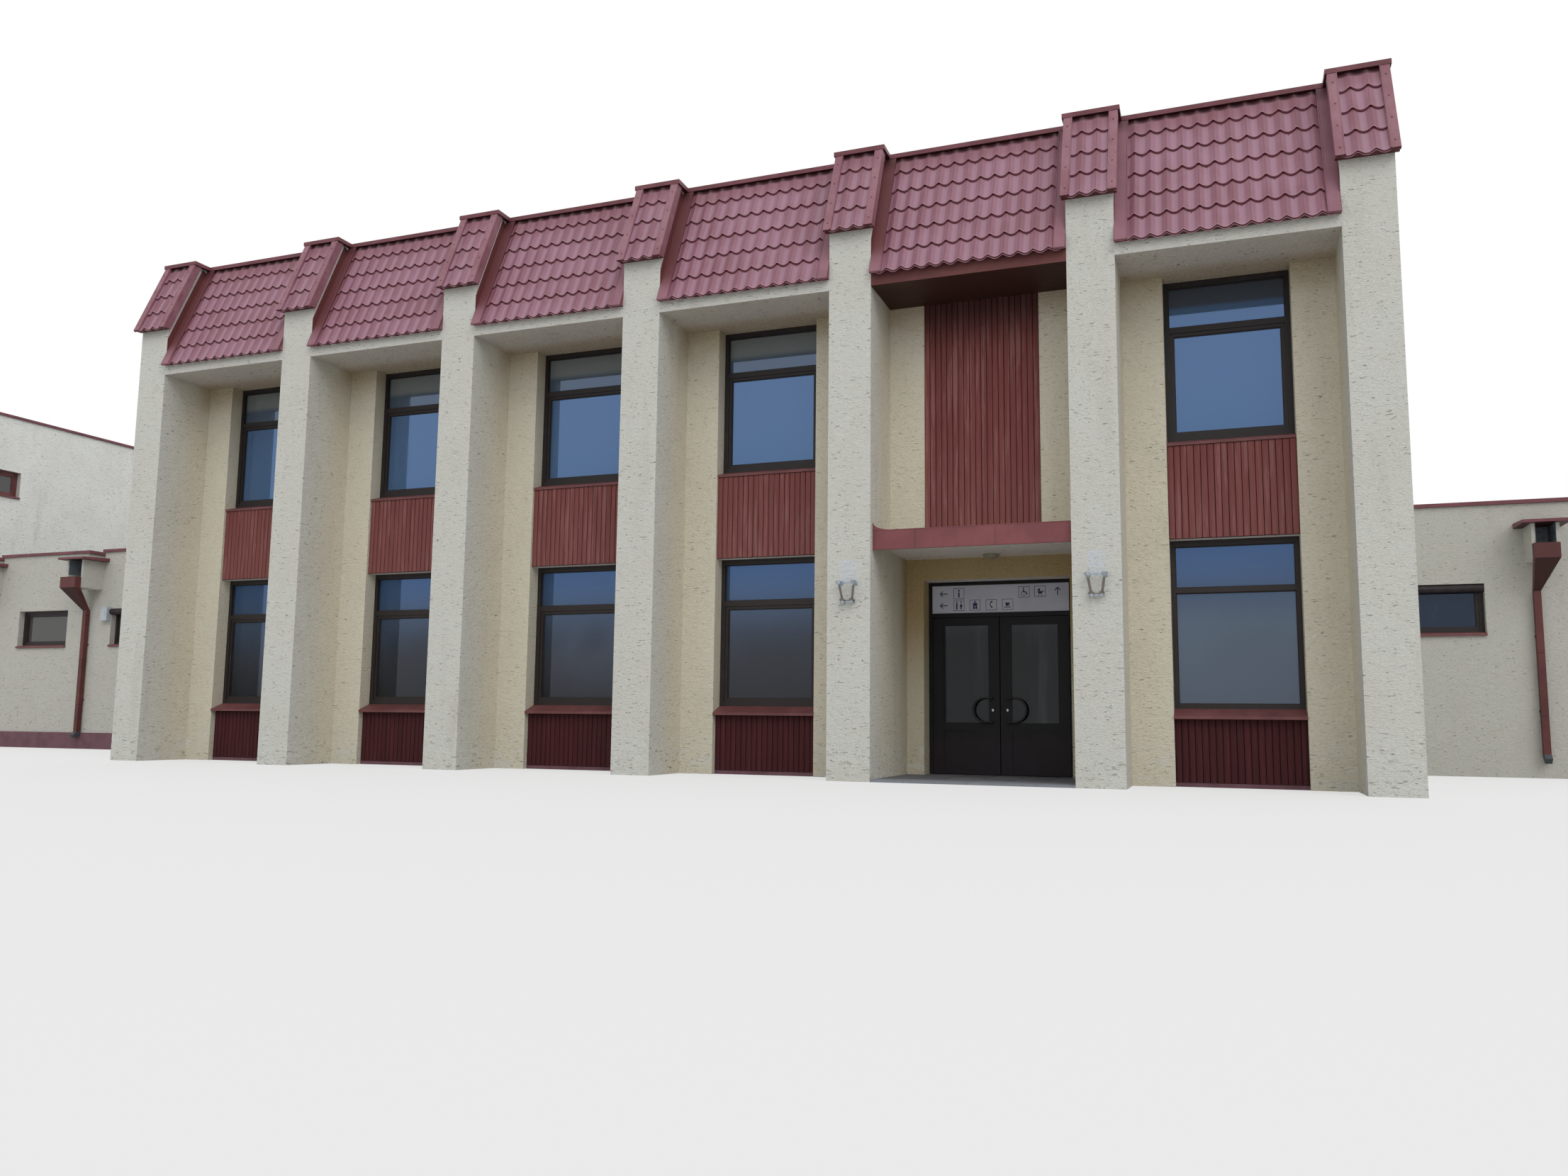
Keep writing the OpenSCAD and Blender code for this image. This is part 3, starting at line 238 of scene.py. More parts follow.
def wallFinish(name, plain=None, turned=None):  # plain walls have one colour and less wear, without the painted shade in the recesses and under the eaves and the painted light on the outer ends
    f = Finish(name, walls)
    front, setBack, deep, deepLow = [plain] * 4 if plain else ["front", "setBack", "deep", "deepLow"]
    depth = f.y - corner.y
    grain = f.noise(walls["grain"], 3, 0.62, (1.0, 1.0, 2.6))
    lumps = f.noise(12, 3, 0.6, (1.0, 1.0, 1.8))
    crack = f.band(f.noise(13, 4, 0.62, (1.0, 1.0, 4.5)), 0.645, 0.685)
    mottle = f.noise(1.1, 4, 0.6)
    streaks = f.noise(3.0, 4, 0.6, (1.0, 1.0, 0.14))
    inBays = f.between(f.x, corner.x + 0.02, corner.x + hallWidth - 0.02, 0.01)
    underEavesInBays = inBays * f.band(f.z, walls["eaves"] + 0.1, walls["eaves"])
    # under the eaves in the bays the colour turns yellower with depth: partly paint, partly painted
    # shade
    colour = f.ground(front, setBack, f.band(depth, *walls["bayDepth"]) * underEavesInBays)
    # painted shade: tan porch walls, darkest high up under the canopy
    porch = f.ground(deep, deepLow, f.band(f.z, *walls["porchHeight"]))
    colour = f.blend(f.band(depth, *walls["porchDepth"]) * underEavesInBays, colour, porch)
    if turned:  # the ends of these walls show in the front and back, and match those; their sideways faces keep the brighter end colour, painted light
        colour = f.coat(colour, turned, f.band(f.facing("Y").size(), 0.5, 0.8))
    soffit = f.ground("soffit", "soffitLow", f.band(f.z, *walls["canopyHeight"]))
    colour = f.blend(f.underside(), colour, soffit)
    colour = f.coat(colour, "cloud", f.band(mottle, 0.40, 0.70) * 0.12)
    colour = f.coat(colour, "grime", f.band(streaks, 0.54, 0.76) * 0.16)
    if not plain:  # painted light on the pale outer ends, painted shade under the eaves, scraped feet, patches by the sockets
        colour = f.coat(colour, "end", (1 - inBays) * f.band(depth, 0.0, 0.02))
        # painted shade darkening the set-back walls under the eaves
        under = f.band(f.z + mottle * 0.5, walls["eaves"] - 0.5, walls["eaves"])
        colour = f.coat(colour, "stain", under * f.band(depth, 0.5, 0.9) * underEavesInBays * 0.6)
        foot = f.band(f.z, *walls["foot"])
        peel = f.band(f.noise(5.0, 4, 0.6, (1.0, 1.0, 1.6)), 0.50, 0.60) * foot
        colour = f.coat(colour, "peel", peel * 0.5)
        chips = f.band(f.noise(8.0, 4, 0.6, (1.0, 1.0, 3.0)), 0.60, 0.66) * foot
        colour = f.coat(colour, "chip", chips * 0.6)
        across = ((f.x - corner.x - hall["pier"] / 2) % hall["pitch"] + 0.1) % hall["pitch"]
        reach = walls["patchReach"]
        patch = (f.band(across, walls["patchWidth"] + 0.01, walls["patchWidth"] - 0.01)
                 * f.between(f.z, *walls["patchHeight"], 0.01) * f.band(depth, 0.02, 0.0)
                 * f.between(f.x, doorMiddle - reach, doorMiddle + reach, 0.01))
        colour = f.coat(colour, "patch", patch * f.band(f.noise(22, 4, 0.6), 0.38, 0.48) * 0.85)
    colour = f.coat(colour, "crack", crack * 0.6)
    # painted shade and painted highlight following the rough grain
    colour = f.coat(colour, "pitShade", f.band(grain, 0.54, 0.70) * 0.30)
    colour = f.coat(colour, "crest", f.band(grain, 0.46, 0.34) * 0.30)
    return f.surface(colour=colour, rough=0.9, specular=0.2,
                     normal=f.bump(grain + lumps * 0.8 - crack * 0.8, walls["bump"], 0.9))


tiles = {  # wavy metal sheets over the bays and over the pier caps
    "wave": 0.183, "height": 0.024, "scallop": 0.034, "drop": 0.017, "lift": 0.003,
    "fine": 12, "arch": 1.15, "bead": 0.004, "bayPhase": 0.045, "capPhase": 0.05,
    "rimDrop": 0.022, "rimBack": 0.010, "rimDeep": 0.03, "gauge": 0.0012,
    "base": (142, 97, 113), "dull": (127, 80, 93), "pale": (158, 115, 135),
    # edge: painted highlight along the lips; line: painted shadow under the laps
    "run": (120, 68, 78), "panHighlight": (170, 134, 152), "ridgeShade": (104, 50, 58),
    # top: painted shade on the top rows under the coping
    "edge": (164, 118, 130), "dust": (96, 60, 66), "line": (80, 30, 37),
    "rim": (168, 124, 132), "top": (116, 62, 68), "shade": (54, 26, 28),
}


def tileFinish(name, front, low, left, phase):
    f = Finish(name, tiles)
    along = (f.z - low) * leanCosine + (f.y - corner.y - front) * leanSine
    across = (f.x - corner.x - left) % hall["pitch"] + phase
    pan = (across / tiles["wave"] * pi).cosine().size()
    row = (along - tiles["scallop"] * (1 - pan ** tiles["arch"]) + tiles["drop"]) / hall["row"]
    part = row % 1.0
    fromTop = hall["top"] - f.z
    fade = f.noise(1.6, 4, 0.6)
    runs = f.noise(6.0, 4, 0.65, (1.6, 0.6, 0.2))
    dust = f.noise(38, 3, 0.6)
    tileId = f.choice(row, 3.0) + f.choice(across / tiles["wave"], 17.0)
    colour = f.ground("dull", "base", f.band(fade, 0.36, 0.70))
    colour = f.coat(colour, "pale", (tileId - 1.0) * 0.22 + 0.1)
    colour = f.coat(colour, "run", f.band(runs, 0.52, 0.76) * 0.30)
    # painted highlight in the middle of the pans and painted shade on the ridges
    colour = f.coat(colour, "panHighlight", f.band(pan, 0.70, 0.97) * 0.42)
    colour = f.coat(colour, "ridgeShade", f.band(pan, 0.20, 0.02) * 0.55)
    # painted highlight along the bottom of each row, at its lip
    colour = f.coat(colour, "edge", f.band(part, 0.10, 0.0) * 0.45)
    colour = f.coat(colour, "dust", f.band(dust, 0.62, 0.80) * 0.2)
    # painted shade on the top rows under the coping
    colour = f.coat(colour, "top", f.band(fromTop, 0.42, 0.10) * 0.5)
    # painted shadow under each lap
    colour = f.coat(colour, "line", f.band(part, 0.90, 0.945))
    colour = f.coat(colour, "rim", f.band(row, -0.026, -0.034))
    colour = f.coat(colour, "shade", f.band(fromTop, 0.09, 0.05) * 0.9)
    return f.surface(colour=colour, rough=0.38 + fade * 0.16, specular=0.45,
                     normal=f.bump(f.noise(9, 2), 0.002, 0.4))


# joints of the downpipes and the top of their lead shoes
pipes = {"jointStep": 0.95, "jointLift": 0.03, "jointWidth": 0.016, "shoe": 0.369}


def coatedFinish(name, base, dull, under=None, isPipe=False):  # plain coated sheet metal, with the under colour as painted shade on faces that look down
    f = Finish(name, {"base": base, "dull": dull, "under": under,
                      "run": [c * 0.72 for c in dull],
                      "chalk": [min(255, c * 1.22 + 6) for c in base],
                      "joint": (44, 24, 22), "lead": (70, 74, 80)})
    fade = f.noise(2.2, 4, 0.6)
    runs = f.noise(7.0, 4, 0.65, (1.4, 1.4, 0.2))
    colour = f.ground("dull", "base", f.band(fade, 0.36, 0.70))
    colour = f.coat(colour, "run", f.band(runs, 0.54, 0.78) * 0.35)
    colour = f.coat(colour, "chalk", f.band(f.noise(60, 3), 0.58, 0.78) * 0.25)
    if under:
        # painted shade on faces that look down
        colour = f.coat(colour, "under", f.underside())
    if isPipe:  # joints along the pipe and the bare lead shoe at its foot
        place = (f.z + pipes["jointLift"]) % pipes["jointStep"] - pipes["jointWidth"] / 2
        colour = f.coat(colour, "joint", f.band(place.size(), 0.010, 0.004) * 0.7)
        shoe = f.band(f.z + f.noise(30, 3) * 0.03, pipes["shoe"] + 0.003, pipes["shoe"] - 0.003)
        colour = f.coat(colour, "lead", shoe)
    return f.sheetMetal(colour, fade)


boards = {  # upright boards on the panels
    "count": 19, "entranceCount": 20, "gap": 0.007, "thick": 0.010, "round": 0.003, "inset": 0.003,
    "shade": (38, 18, 17), "shadeHeight": (5.5, 6.2), "paleHeight": (4.9, 3.1),
}


def boardFinish(name, base, worn, dark, wear):
    f = Finish(name, {"base": base, "worn": worn, "dark": dark, "shade": boards["shade"]})
    boardId = f.choice((f.x - corner.x) / (hall["strip"] / boards["count"]))
    grain = f.noise(60, 4, 0.6, (1.0, 1.0, 0.035))
    flake = f.noise(17, 5, 0.65, (1.0, 1.0, 0.06))
    fade = f.noise(1.4, 3, 0.5, (1.0, 1.0, 0.5))
    colour = f.ground("base", "dark", boardId * 0.6)
    colour = f.coat(colour, "dark", f.band(grain, 0.44, 0.66) * 0.45)
    colour = f.coat(colour, "worn", f.band(flake + fade * 0.2, 0.60, 0.74) * wear)
    colour = f.coat(colour, "worn", f.band(grain, 0.36, 0.28) * wear * 0.6)
    colour = f.coat(colour, "worn", f.band(f.z, *boards["paleHeight"]) * wear * 0.4)
    colour = f.coat(colour, "shade", f.band(f.z, *boards["shadeHeight"]) * 0.75)
    return f.surface(colour=colour, rough=0.62 + grain * 0.2, specular=0.25,
                     normal=f.bump(grain, 0.003, 0.6))


def frameFinish():
    f = Finish("darkBrownFrame", {"base": (36, 31, 31), "dusty": (56, 49, 48), "low": (66, 50, 42)})
    dust = f.noise(6, 4, 0.6)
    colour = f.ground("base", "dusty", f.band(dust, 0.5, 0.75) * 0.4)
    colour = f.coat(colour, "low", f.band(f.z, 3.2, 2.6) * 0.10)
    return f.surface(colour=colour, rough=0.40 + dust * 0.18, specular=0.35,
                     normal=f.bump(f.noise(60, 2), 0.0006, 0.4))


panes = {  # heights in metres and the screen colours that the glass shows there: painted reflections, with lines of blinds behind the upper panes
    "stops": [(0.9, (40, 42, 48)), (1.6, (66, 72, 84)), (2.25, (72, 90, 116)),
              (2.95, (68, 100, 146)), (4.3, (88, 120, 162)), (5.6, (96, 127, 172)),
              (6.25, (92, 120, 160))],
    "soffitLow": (98, 112, 130), "soffitLit": (152, 159, 157), "soffitDark": (84, 86, 88),
    "shaded": (46, 48, 54), "openBay": (104, 120, 138), "slat": (40, 50, 66),
    "leftWing": (88, 88, 87), "rightWing": (38, 50, 68), "rightSheen": (70, 86, 108),
    "transom": 5.62, "slatStep": 0.025, "upperFloor": 4.0, "wingDepth": (3.0, 7.5), "metal": 0.55,
}


def windowFinish():
    f = Finish("reflectingGlass", panes)
    wide = f.noise(0.42, 3, 0.5, (1.0, 1.0, 0.6))
    smearAndSheen = f.noise(2.4, 4, 0.6, (1, 1, 0.3))
    slats = f.band((f.z / panes["slatStep"]) % 1.0, 0.15, 0.5) * (f.z > panes["upperFloor"])
    # painted reflection: the glass's colour up its height, with painted shade on the low panes
    colour = f.ramp(f.z, 0.9, 6.3, panes["stops"])
    colour = f.coat(colour, "shaded", f.band(wide, 0.42, 0.60) * f.band(f.z, 2.6, 1.6) * 0.7)
    # painted reflection of the soffit in the top lights of the left bays
    topLight = f.band(f.z, panes["transom"], panes["transom"] + 0.02)
    leftBays = f.band(f.x, entranceLeft, entranceLeft - 0.1)
    soffit = f.ground("soffitLow", "soffitLit", f.band(f.z, 5.84, 5.94))
    colour = f.blend(topLight * leftBays * 0.85, colour, soffit)
    # painted reflections of the dark soffit and of the open bay in the other bays
    colour = f.coat(colour, "soffitDark", (1 - leftBays) * f.band(f.z, 5.90, 5.96) * 0.8)
    colour = f.coat(colour, "openBay", (1 - leftBays) * f.band(f.z, 2.45, 1.9) * 0.5)
    # painted reflections in the wings' glass, with paler streaks on the right wing
    rightGlass = f.ground("rightWing", "rightSheen", f.band(smearAndSheen, 0.52, 0.66))
    onRight = f.band(f.x, corner.x, corner.x + 1.0)
    wingGlass = f.blend(onRight, paint(*panes["leftWing"]), rightGlass)
    colour = f.blend(f.between(f.y - corner.y, *panes["wingDepth"], 0.1), colour, wingGlass)
    colour = f.coat(colour, "slat", slats * 0.10)
    return f.surface(colour=colour, rough=0.03 + f.band(smearAndSheen, 0.5, 0.9) * 0.08,
                     metal=panes["metal"], alpha=0.94, specular=0.5)


def doorGlassFinish():
    f = Finish("darkDoorGlass", {"deep": (24, 27, 30), "streak": (56, 60, 62), "sky": (70, 78, 92)})
    streak = f.noise(4.0, 3, 0.5, (1.0, 1.0, 0.10))
    colour = f.ground("deep", "streak", f.band(streak, 0.50, 0.66) * 0.8)
    # painted reflection of the sky at the top of the glass
    colour = f.coat(colour, "sky", f.band(f.z, 1.9, 2.25) * 0.5)
    return f.surface(colour=colour, rough=0.04, metal=0.25, alpha=0.86, specular=0.4)


def doorFinish():
    f = Finish("satinBlackDoor", {"base": (20, 20, 22), "low": (32, 26, 31), "dusty": (40, 36, 38)})
    dust = f.noise(5, 5, 0.6)
    colour = f.ground("base", "low", f.band(f.z + dust * 0.3, 0.85, 0.55))
    colour = f.coat(colour, "dusty", f.band(dust, 0.55, 0.75) * 0.25)
    return f.surface(colour=colour, rough=0.42 + dust * 0.15, specular=0.22,
                     normal=f.bump(f.noise(80, 2), 0.0005, 0.4))


def steelFinish():  # zinc crystals, and the weathered middle of the leaning straps
    f = Finish("galvanised", {"base": (186, 196, 204), "dark": (132, 142, 150),
                              "strap": (112, 96, 84)})
    cells = f.node("ShaderNodeTexVoronoi", {}, {"Vector": f.place, "Scale": 120}, "Color")
    crystals = f.node("ShaderNodeSeparateColor", {}, {0: cells})
    dull = f.noise(14, 4, 0.6)
    colour = f.ground("base", "dark", crystals * 0.5 + f.band(dull, 0.4, 0.7) * 0.5)
    colour = f.coat(colour, "strap", f.between(f.z, 2.21, 2.40, 0.006) * 0.8)
    return f.surface(colour=colour, rough=0.34 + dull * 0.15, metal=0.6)


locks = {"fromMiddle": 0.099, "height": 0.905, "radius": 0.019}  # beside the doors' meeting edge


def handleFinish():  # black bows with bright lock cylinders between their feet
    f = Finish("blackHandle", {"base": (30, 29, 31), "dull": (20, 19, 21), "lock": (205, 205, 208)})
    dull = f.noise(14, 4, 0.6)
    across = (((f.x - doorMiddle).size() - locks["fromMiddle"]).size() * 1.5) ** 2.0
    away = (across + (f.z - locks["height"]) ** 2.0) ** 0.5
    lock = f.band(away, locks["radius"] + 0.002, locks["radius"] - 0.002)
    colour = f.coat(f.ground("base", "dull", dull), "lock", lock)
    return f.surface(colour=colour, rough=0.35 + dull * 0.1, metal=lock * 0.4, specular=0.4)


def plainFinish(name, base, dark, rough, scale=8.0, grain=120.0, depth=0.0008, metal=0.0):
    f = Finish(name, {"base": base, "dark": dark})
    cloud = f.noise(scale, 5, 0.6)
    fine = f.noise(grain, 3, 0.6)
    colour = f.ground("base", "dark", f.band(cloud, 0.38, 0.72))
    return f.surface(colour=colour, rough=rough + fine * 0.12, metal=metal, specular=0.3,
                     normal=f.bump(fine, depth, 0.6))


def eavesFinish():  # red-brown fascia, dark boarded underside with lines along the front
    f = Finish("boardedEaves", {"fascia": (98, 55, 54), "fasciaPale": (112, 68, 66),
                                "board": (68, 40, 34), "boardDark": (52, 29, 25),
                                "joint": (18, 9, 8)})
    fade = f.noise(3.0, 4, 0.6, (0.5, 1.0, 1.0))
    joint = f.band((f.y % 0.105 - 0.05).size(), 0.0045, 0.002)
    fascia = f.ground("fascia", "fasciaPale", f.band(fade, 0.36, 0.68))
    under = f.coat(f.ground("board", "boardDark", fade), "joint", joint)
    return f.surface(colour=f.blend(f.underside(), fascia, under), rough=0.5 + fade * 0.1,
                     specular=0.25, normal=f.bump(1 - joint * f.underside(), 0.004, 0.8))


def roofFinish():
    f = Finish("roofingFelt", {"base": (88, 86, 84), "pool": (62, 61, 61),
                               "grit": (120, 118, 114), "lap": (38, 37, 37)})
    lap = f.band((f.x + 0.02) % 1.0, 0.0, 0.025)
    grit = f.noise(160, 3, 0.7)
    colour = f.ground("base", "pool", f.band(f.noise(0.5, 5, 0.6), 0.42, 0.70))
    colour = f.coat(colour, "grit", f.band(grit, 0.5, 0.72) * 0.5)
    colour = f.coat(colour, "lap", (1 - lap) * 0.7)
    return f.surface(colour=colour, rough=0.9, normal=f.bump(grit + lap * 2.0, 0.003, 0.7))


slabs = {  # square stone slabs, paler along the front edge
    "size": 0.40, "joint": 0.006, "start": (0.12, 0.05, 0.0), "edge": 0.40,
    "pale": (112, 113, 120), "dark": (94, 95, 102), "mortar": (60, 58, 58),
    "front": (136, 140, 146), "speck": (76, 78, 84), "stain": (92, 87, 80),
}


def slabFinish():
    f = Finish("greyStoneSlabs", slabs)
    moved = f.node("ShaderNodeMapping", {}, {"Vector": f.place, "Location": slabs["start"]})
    joints = f.node("ShaderNodeTexBrick", {"offset": 0.0},
                    {"Vector": moved, "Color1": paint(*slabs["pale"]), "Color2": paint(*slabs["dark"]),
                     "Mortar": paint(*slabs["mortar"]), "Scale": 1.0, "Mortar Size": slabs["joint"],
                     "Brick Width": slabs["size"], "Row Height": slabs["size"], "Bias": 0.0})
    stain = f.noise(3.0, 5, 0.65)
    edge = corner.y + slabs["edge"]
    colour = f.coat(joints, "front", f.band(f.y, edge + 0.02, edge - 0.02) * 0.7)
    colour = f.coat(colour, "speck", f.band(f.noise(220, 3, 0.7), 0.5, 0.72) * 0.4)
    colour = f.coat(colour, "stain", f.band(stain, 0.48, 0.75) * 0.4)
    return f.surface(colour=colour, rough=0.55 + stain * 0.2,
                     normal=f.bump(1 - joints.other("Fac"), 0.002, 0.8))


def shutterFinish():  # lines where the slats of the box meet
    f = Finish("shutterBox", {"base": (42, 33, 36), "dusty": (58, 48, 50), "line": (14, 11, 12)})
    dust = f.noise(6, 4, 0.6)
    line = f.band(((f.z + 0.012) % 0.055 - 0.0275).size(), 0.0035, 0.001)
    colour = f.ground("base", "dusty", f.band(dust, 0.45, 0.72))
    colour = f.coat(colour, "line", line * 0.8)
    return f.surface(colour=colour, rough=0.45, specular=0.3, normal=f.bump(1 - line, 0.002, 0.6))


def cornerStripFinish():  # painted reflection and shade in the corner behind a cap, left off low down; painted shade on the upstands and under the coping
    f = Finish("cornerStrip", {"base": (134, 92, 104), "pale": (146, 102, 113),
                               "corner": (96, 48, 46), "upstand": (96, 46, 44), "top": (70, 34, 36)})
    fade = f.noise(2.2, 4, 0.6)
    across = (f.x - corner.x - hall["pier"]) % hall["pitch"]
    inCorner = f.band(across, 0.6, 0.4) * f.band(f.x, lastPier + 0.2, lastPier + 0.1)
    upstand = f.band(across, 0.006, 0.004).most(f.band(across, bayWidth - 0.006, bayWidth - 0.004))
    height = f.band(f.z, hall["tileBase"] + 0.04, hall["tileBase"] + 0.42)
    colour = f.ground("base", "pale", f.band(fade, 0.36, 0.70))
    # painted reflection and shade in the corner, painted shade on the upstands and under the coping
    colour = f.coat(colour, "corner", height * inCorner * 0.8)
    colour = f.coat(colour, "upstand", upstand * 0.8)
    colour = f.coat(colour, "top", f.band(hall["top"] - f.z, 0.25, 0.05) * 0.6)
    return f.sheetMetal(colour, fade)


finishes = {}


def cover(key, material, *names):  # a finish, and the CAD nodes that wear it
    finishes[key] = material
    for name in names:
        for slot in nodes[name].material_slots:
            slot.material = material


cover("face", wallFinish("rainWashedRender"), "front_piers", "front_wall", "entrance_upper_wall",
      "entrance_return_walls", "entrance_wall_left", "entrance_wall_right", "entrance_wall_over",
      "eaves_slabs", "canopy_slab")
cover("wing", wallFinish("wingRender", "wing"), "rear_walls", "wing_front_walls", "spout_boxes")
cover("end", wallFinish("endRender", "end", "wing"), "end_walls")
cover("floor", plainFinish("smoothConcrete", (150, 148, 142), (118, 116, 112), 0.75),
      "ground_floors", "upper_floors")
cover("roof", roofFinish(), "roof_decks")
cover("bayTile", tileFinish("bayTileSheet", hall["tileFront"], hall["tileBase"], hall["pier"],
                            tiles["bayPhase"]))
cover("capTile", tileFinish("capTileSheet", hall["capFront"], hall["capBase"], -hall["capSide"],
                            tiles["capPhase"]))
# the third colour, where given, is painted shade on the undersides
cover("strip", coatedFinish("foldedStrip", (148, 106, 116), (132, 86, 96), (84, 38, 40)),
      "bay_mansards", "pier_caps")
cover("cornerStrip", cornerStripFinish())
cover("coping", coatedFinish("copingSheet", (122, 72, 80), (104, 58, 64), (64, 30, 32)),
      "roof_copings", "spout_caps")
cover("sill", coatedFinish("sillSheet", (120, 74, 74), (102, 60, 60), (64, 30, 32)),
      "window_sills", "side_window_frame")
cover("pipe", coatedFinish("coatedPipe", (98, 52, 50), (82, 42, 40), (60, 32, 30), True),
      "downpipes")
cover("canopySheet", coatedFinish("fadedCanopySheet", (132, 76, 78), (118, 66, 70)), "canopy_edge")
cover("eaves", eavesFinish(), "entrance_eaves")
cover("board", boardFinish("weatheredBoards", (122, 66, 62), (146, 100, 97), (100, 50, 48), 0.55))
cover("darkBoard", boardFinish("maroonBoards", (70, 26, 30), (88, 40, 44), (50, 16, 20), 0.3))
cover("groove", plainFinish("shadowGroove", (34, 15, 15), (24, 11, 12), 0.8), "spandrel_panels",
      "apron_panels", "entrance_panel")
cover("plinth", plainFinish("paintedPlinth", (116, 84, 92), (98, 70, 78), 0.85, 3.0, 60.0, 0.003),
      "plinths")
cover("frame", frameFinish(), "front_window_frames", "rear_window_frames", "wing_window_frames")
cover("glass", windowFinish(), "window_glass")
cover("doorGlass", doorGlassFinish(), "left_door_glass", "right_door_glass")
cover("door", doorFinish(), "door_frame", "left_door_leaf", "right_door_leaf")
cover("steel", steelFinish(), "flag_sockets")
cover("handle", handleFinish(), "left_door_handles", "right_door_handles")
# a grey-cream opal, darker than clean white
cover("lamp", plainFinish("dustyOpal", (160, 153, 136), (142, 135, 118), 0.35), "canopy_lamp")
cover("box", plainFinish("whiteBox", (184, 192, 195), (168, 176, 180), 0.35), "wall_box")
cover("sign", plainFinish("paleSignSheet", (196, 197, 210), (186, 187, 200), 0.45, 2.0), "door_sign")
cover("ink", plainFinish("navyFilm", (34, 38, 84), (28, 31, 72), 0.4))
cover("landing", slabFinish(), "landing")
cover("shutter", shutterFinish(), "shutter_boxes")
cover("lead", plainFinish("leadGrey", (128, 136, 144), (98, 106, 114), 0.5, metal=0.2))
print("finishes ready")


def addPiece(name, mesh, finish):
    mesh.name = name
    piece = objectOf(name, mesh)
    if not mesh.materials:
        mesh.materials.append(finishes[finish])
    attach(piece, body)


def meshOf(points, faces):
    mesh = bpy.data.meshes.new("rough")
    mesh.from_pydata([tuple(p) for p in points], [], faces)
    return mesh


def prism(near, far):  # closed, and right way out if the outlines turn left seen from far
    n = len(near)
    sides = [(k, (k + 1) % n, n + (k + 1) % n, n + k) for k in range(n)]
    return meshOf(near + far, sides + [tuple(range(n - 1, -1, -1)), tuple(range(n, 2 * n))])


def block(low, high):  # a plain bar for joining into a piece
    (x0, y0, z0), (x1, y1, z1) = low, high
    return prism([(x0, y0, z0), (x1, y0, z0), (x1, y1, z0), (x0, y1, z0)],
                 [(x0, y0, z1), (x1, y0, z1), (x1, y1, z1), (x0, y1, z1)])


def softened(mesh, angle):
    mesh.shade_smooth()
    mesh.set_sharp_from_angle(angle=radians(angle))
    return mesh


def join(meshes):
    whole = bmesh.new()
    for mesh in meshes:
        whole.from_mesh(mesh)
    made = bpy.data.meshes.new("joined")
    whole.to_mesh(made)
    whole.free()
    return made


def thickened(mesh, gauge):  # an open sheet made a thin closed shell
    whole = bmesh.new()
    whole.from_mesh(mesh)
    bmesh.ops.dissolve_degenerate(whole, dist=0.0004, edges=whole.edges[:])
    bmesh.ops.solidify(whole, geom=whole.faces[:], thickness=gauge)
    bmesh.ops.recalc_face_normals(whole, faces=whole.faces[:])
    whole.to_mesh(mesh)
    whole.free()
    return mesh


class Repeat(Graph):  # a geometry tree with named inputs
    def __init__(self, name, counts, sizes):
        super().__init__(bpy.data.node_groups.new(name, "GeometryNodeTree"))
        face = self.tree.interface
        face.new_socket(name="Geometry", in_out="INPUT", socket_type="NodeSocketGeometry")
        kinds = {"Material": "NodeSocketMaterial"}
        kinds.update({key: "NodeSocketInt" for key in counts})
        kinds.update({key: "NodeSocketFloat" for key in sizes})
        self.sockets = {key: face.new_socket(name=key, in_out="INPUT", socket_type=kind)
                        for key, kind in kinds.items()}
        face.new_socket(name="Geometry", in_out="OUTPUT", socket_type="NodeSocketGeometry")
        self.source = self.node("NodeGroupInput")

    def given(self, name):
        return self.source.other(name)

    def spot(self, x, along, out):  # a place on the slope, up it and out of it
        sine, cosine = self.given("Lean").sine(), self.given("Lean").cosine()
        return self.node("ShaderNodeCombineXYZ", {}, {0: x, 1: along * sine - out * cosine,
                                                      2: along * cosine + out * sine})

    def close(self, instances):
        plain = self.node("GeometryNodeRealizeInstances", {}, {0: instances})
        coated = self.node("GeometryNodeSetMaterial", {}, {0: plain, 2: self.given("Material")})
        self.node("NodeGroupOutput", {}, {0: coated})

    def applied(self, points, values):  # a plain mesh from the tree on these points
        base = objectOf("base", meshOf(points, []))
        modifier = base.modifiers.new("repeat", "NODES")
        modifier.node_group = self.tree
        for key, value in values.items():
            modifier[self.sockets[key].identifier] = value
        made = bpy.data.meshes.new_from_object(
            base.evaluated_get(bpy.context.evaluated_depsgraph_get()))
        base.modifiers.clear()
        bpy.data.objects.remove(base)
        return made


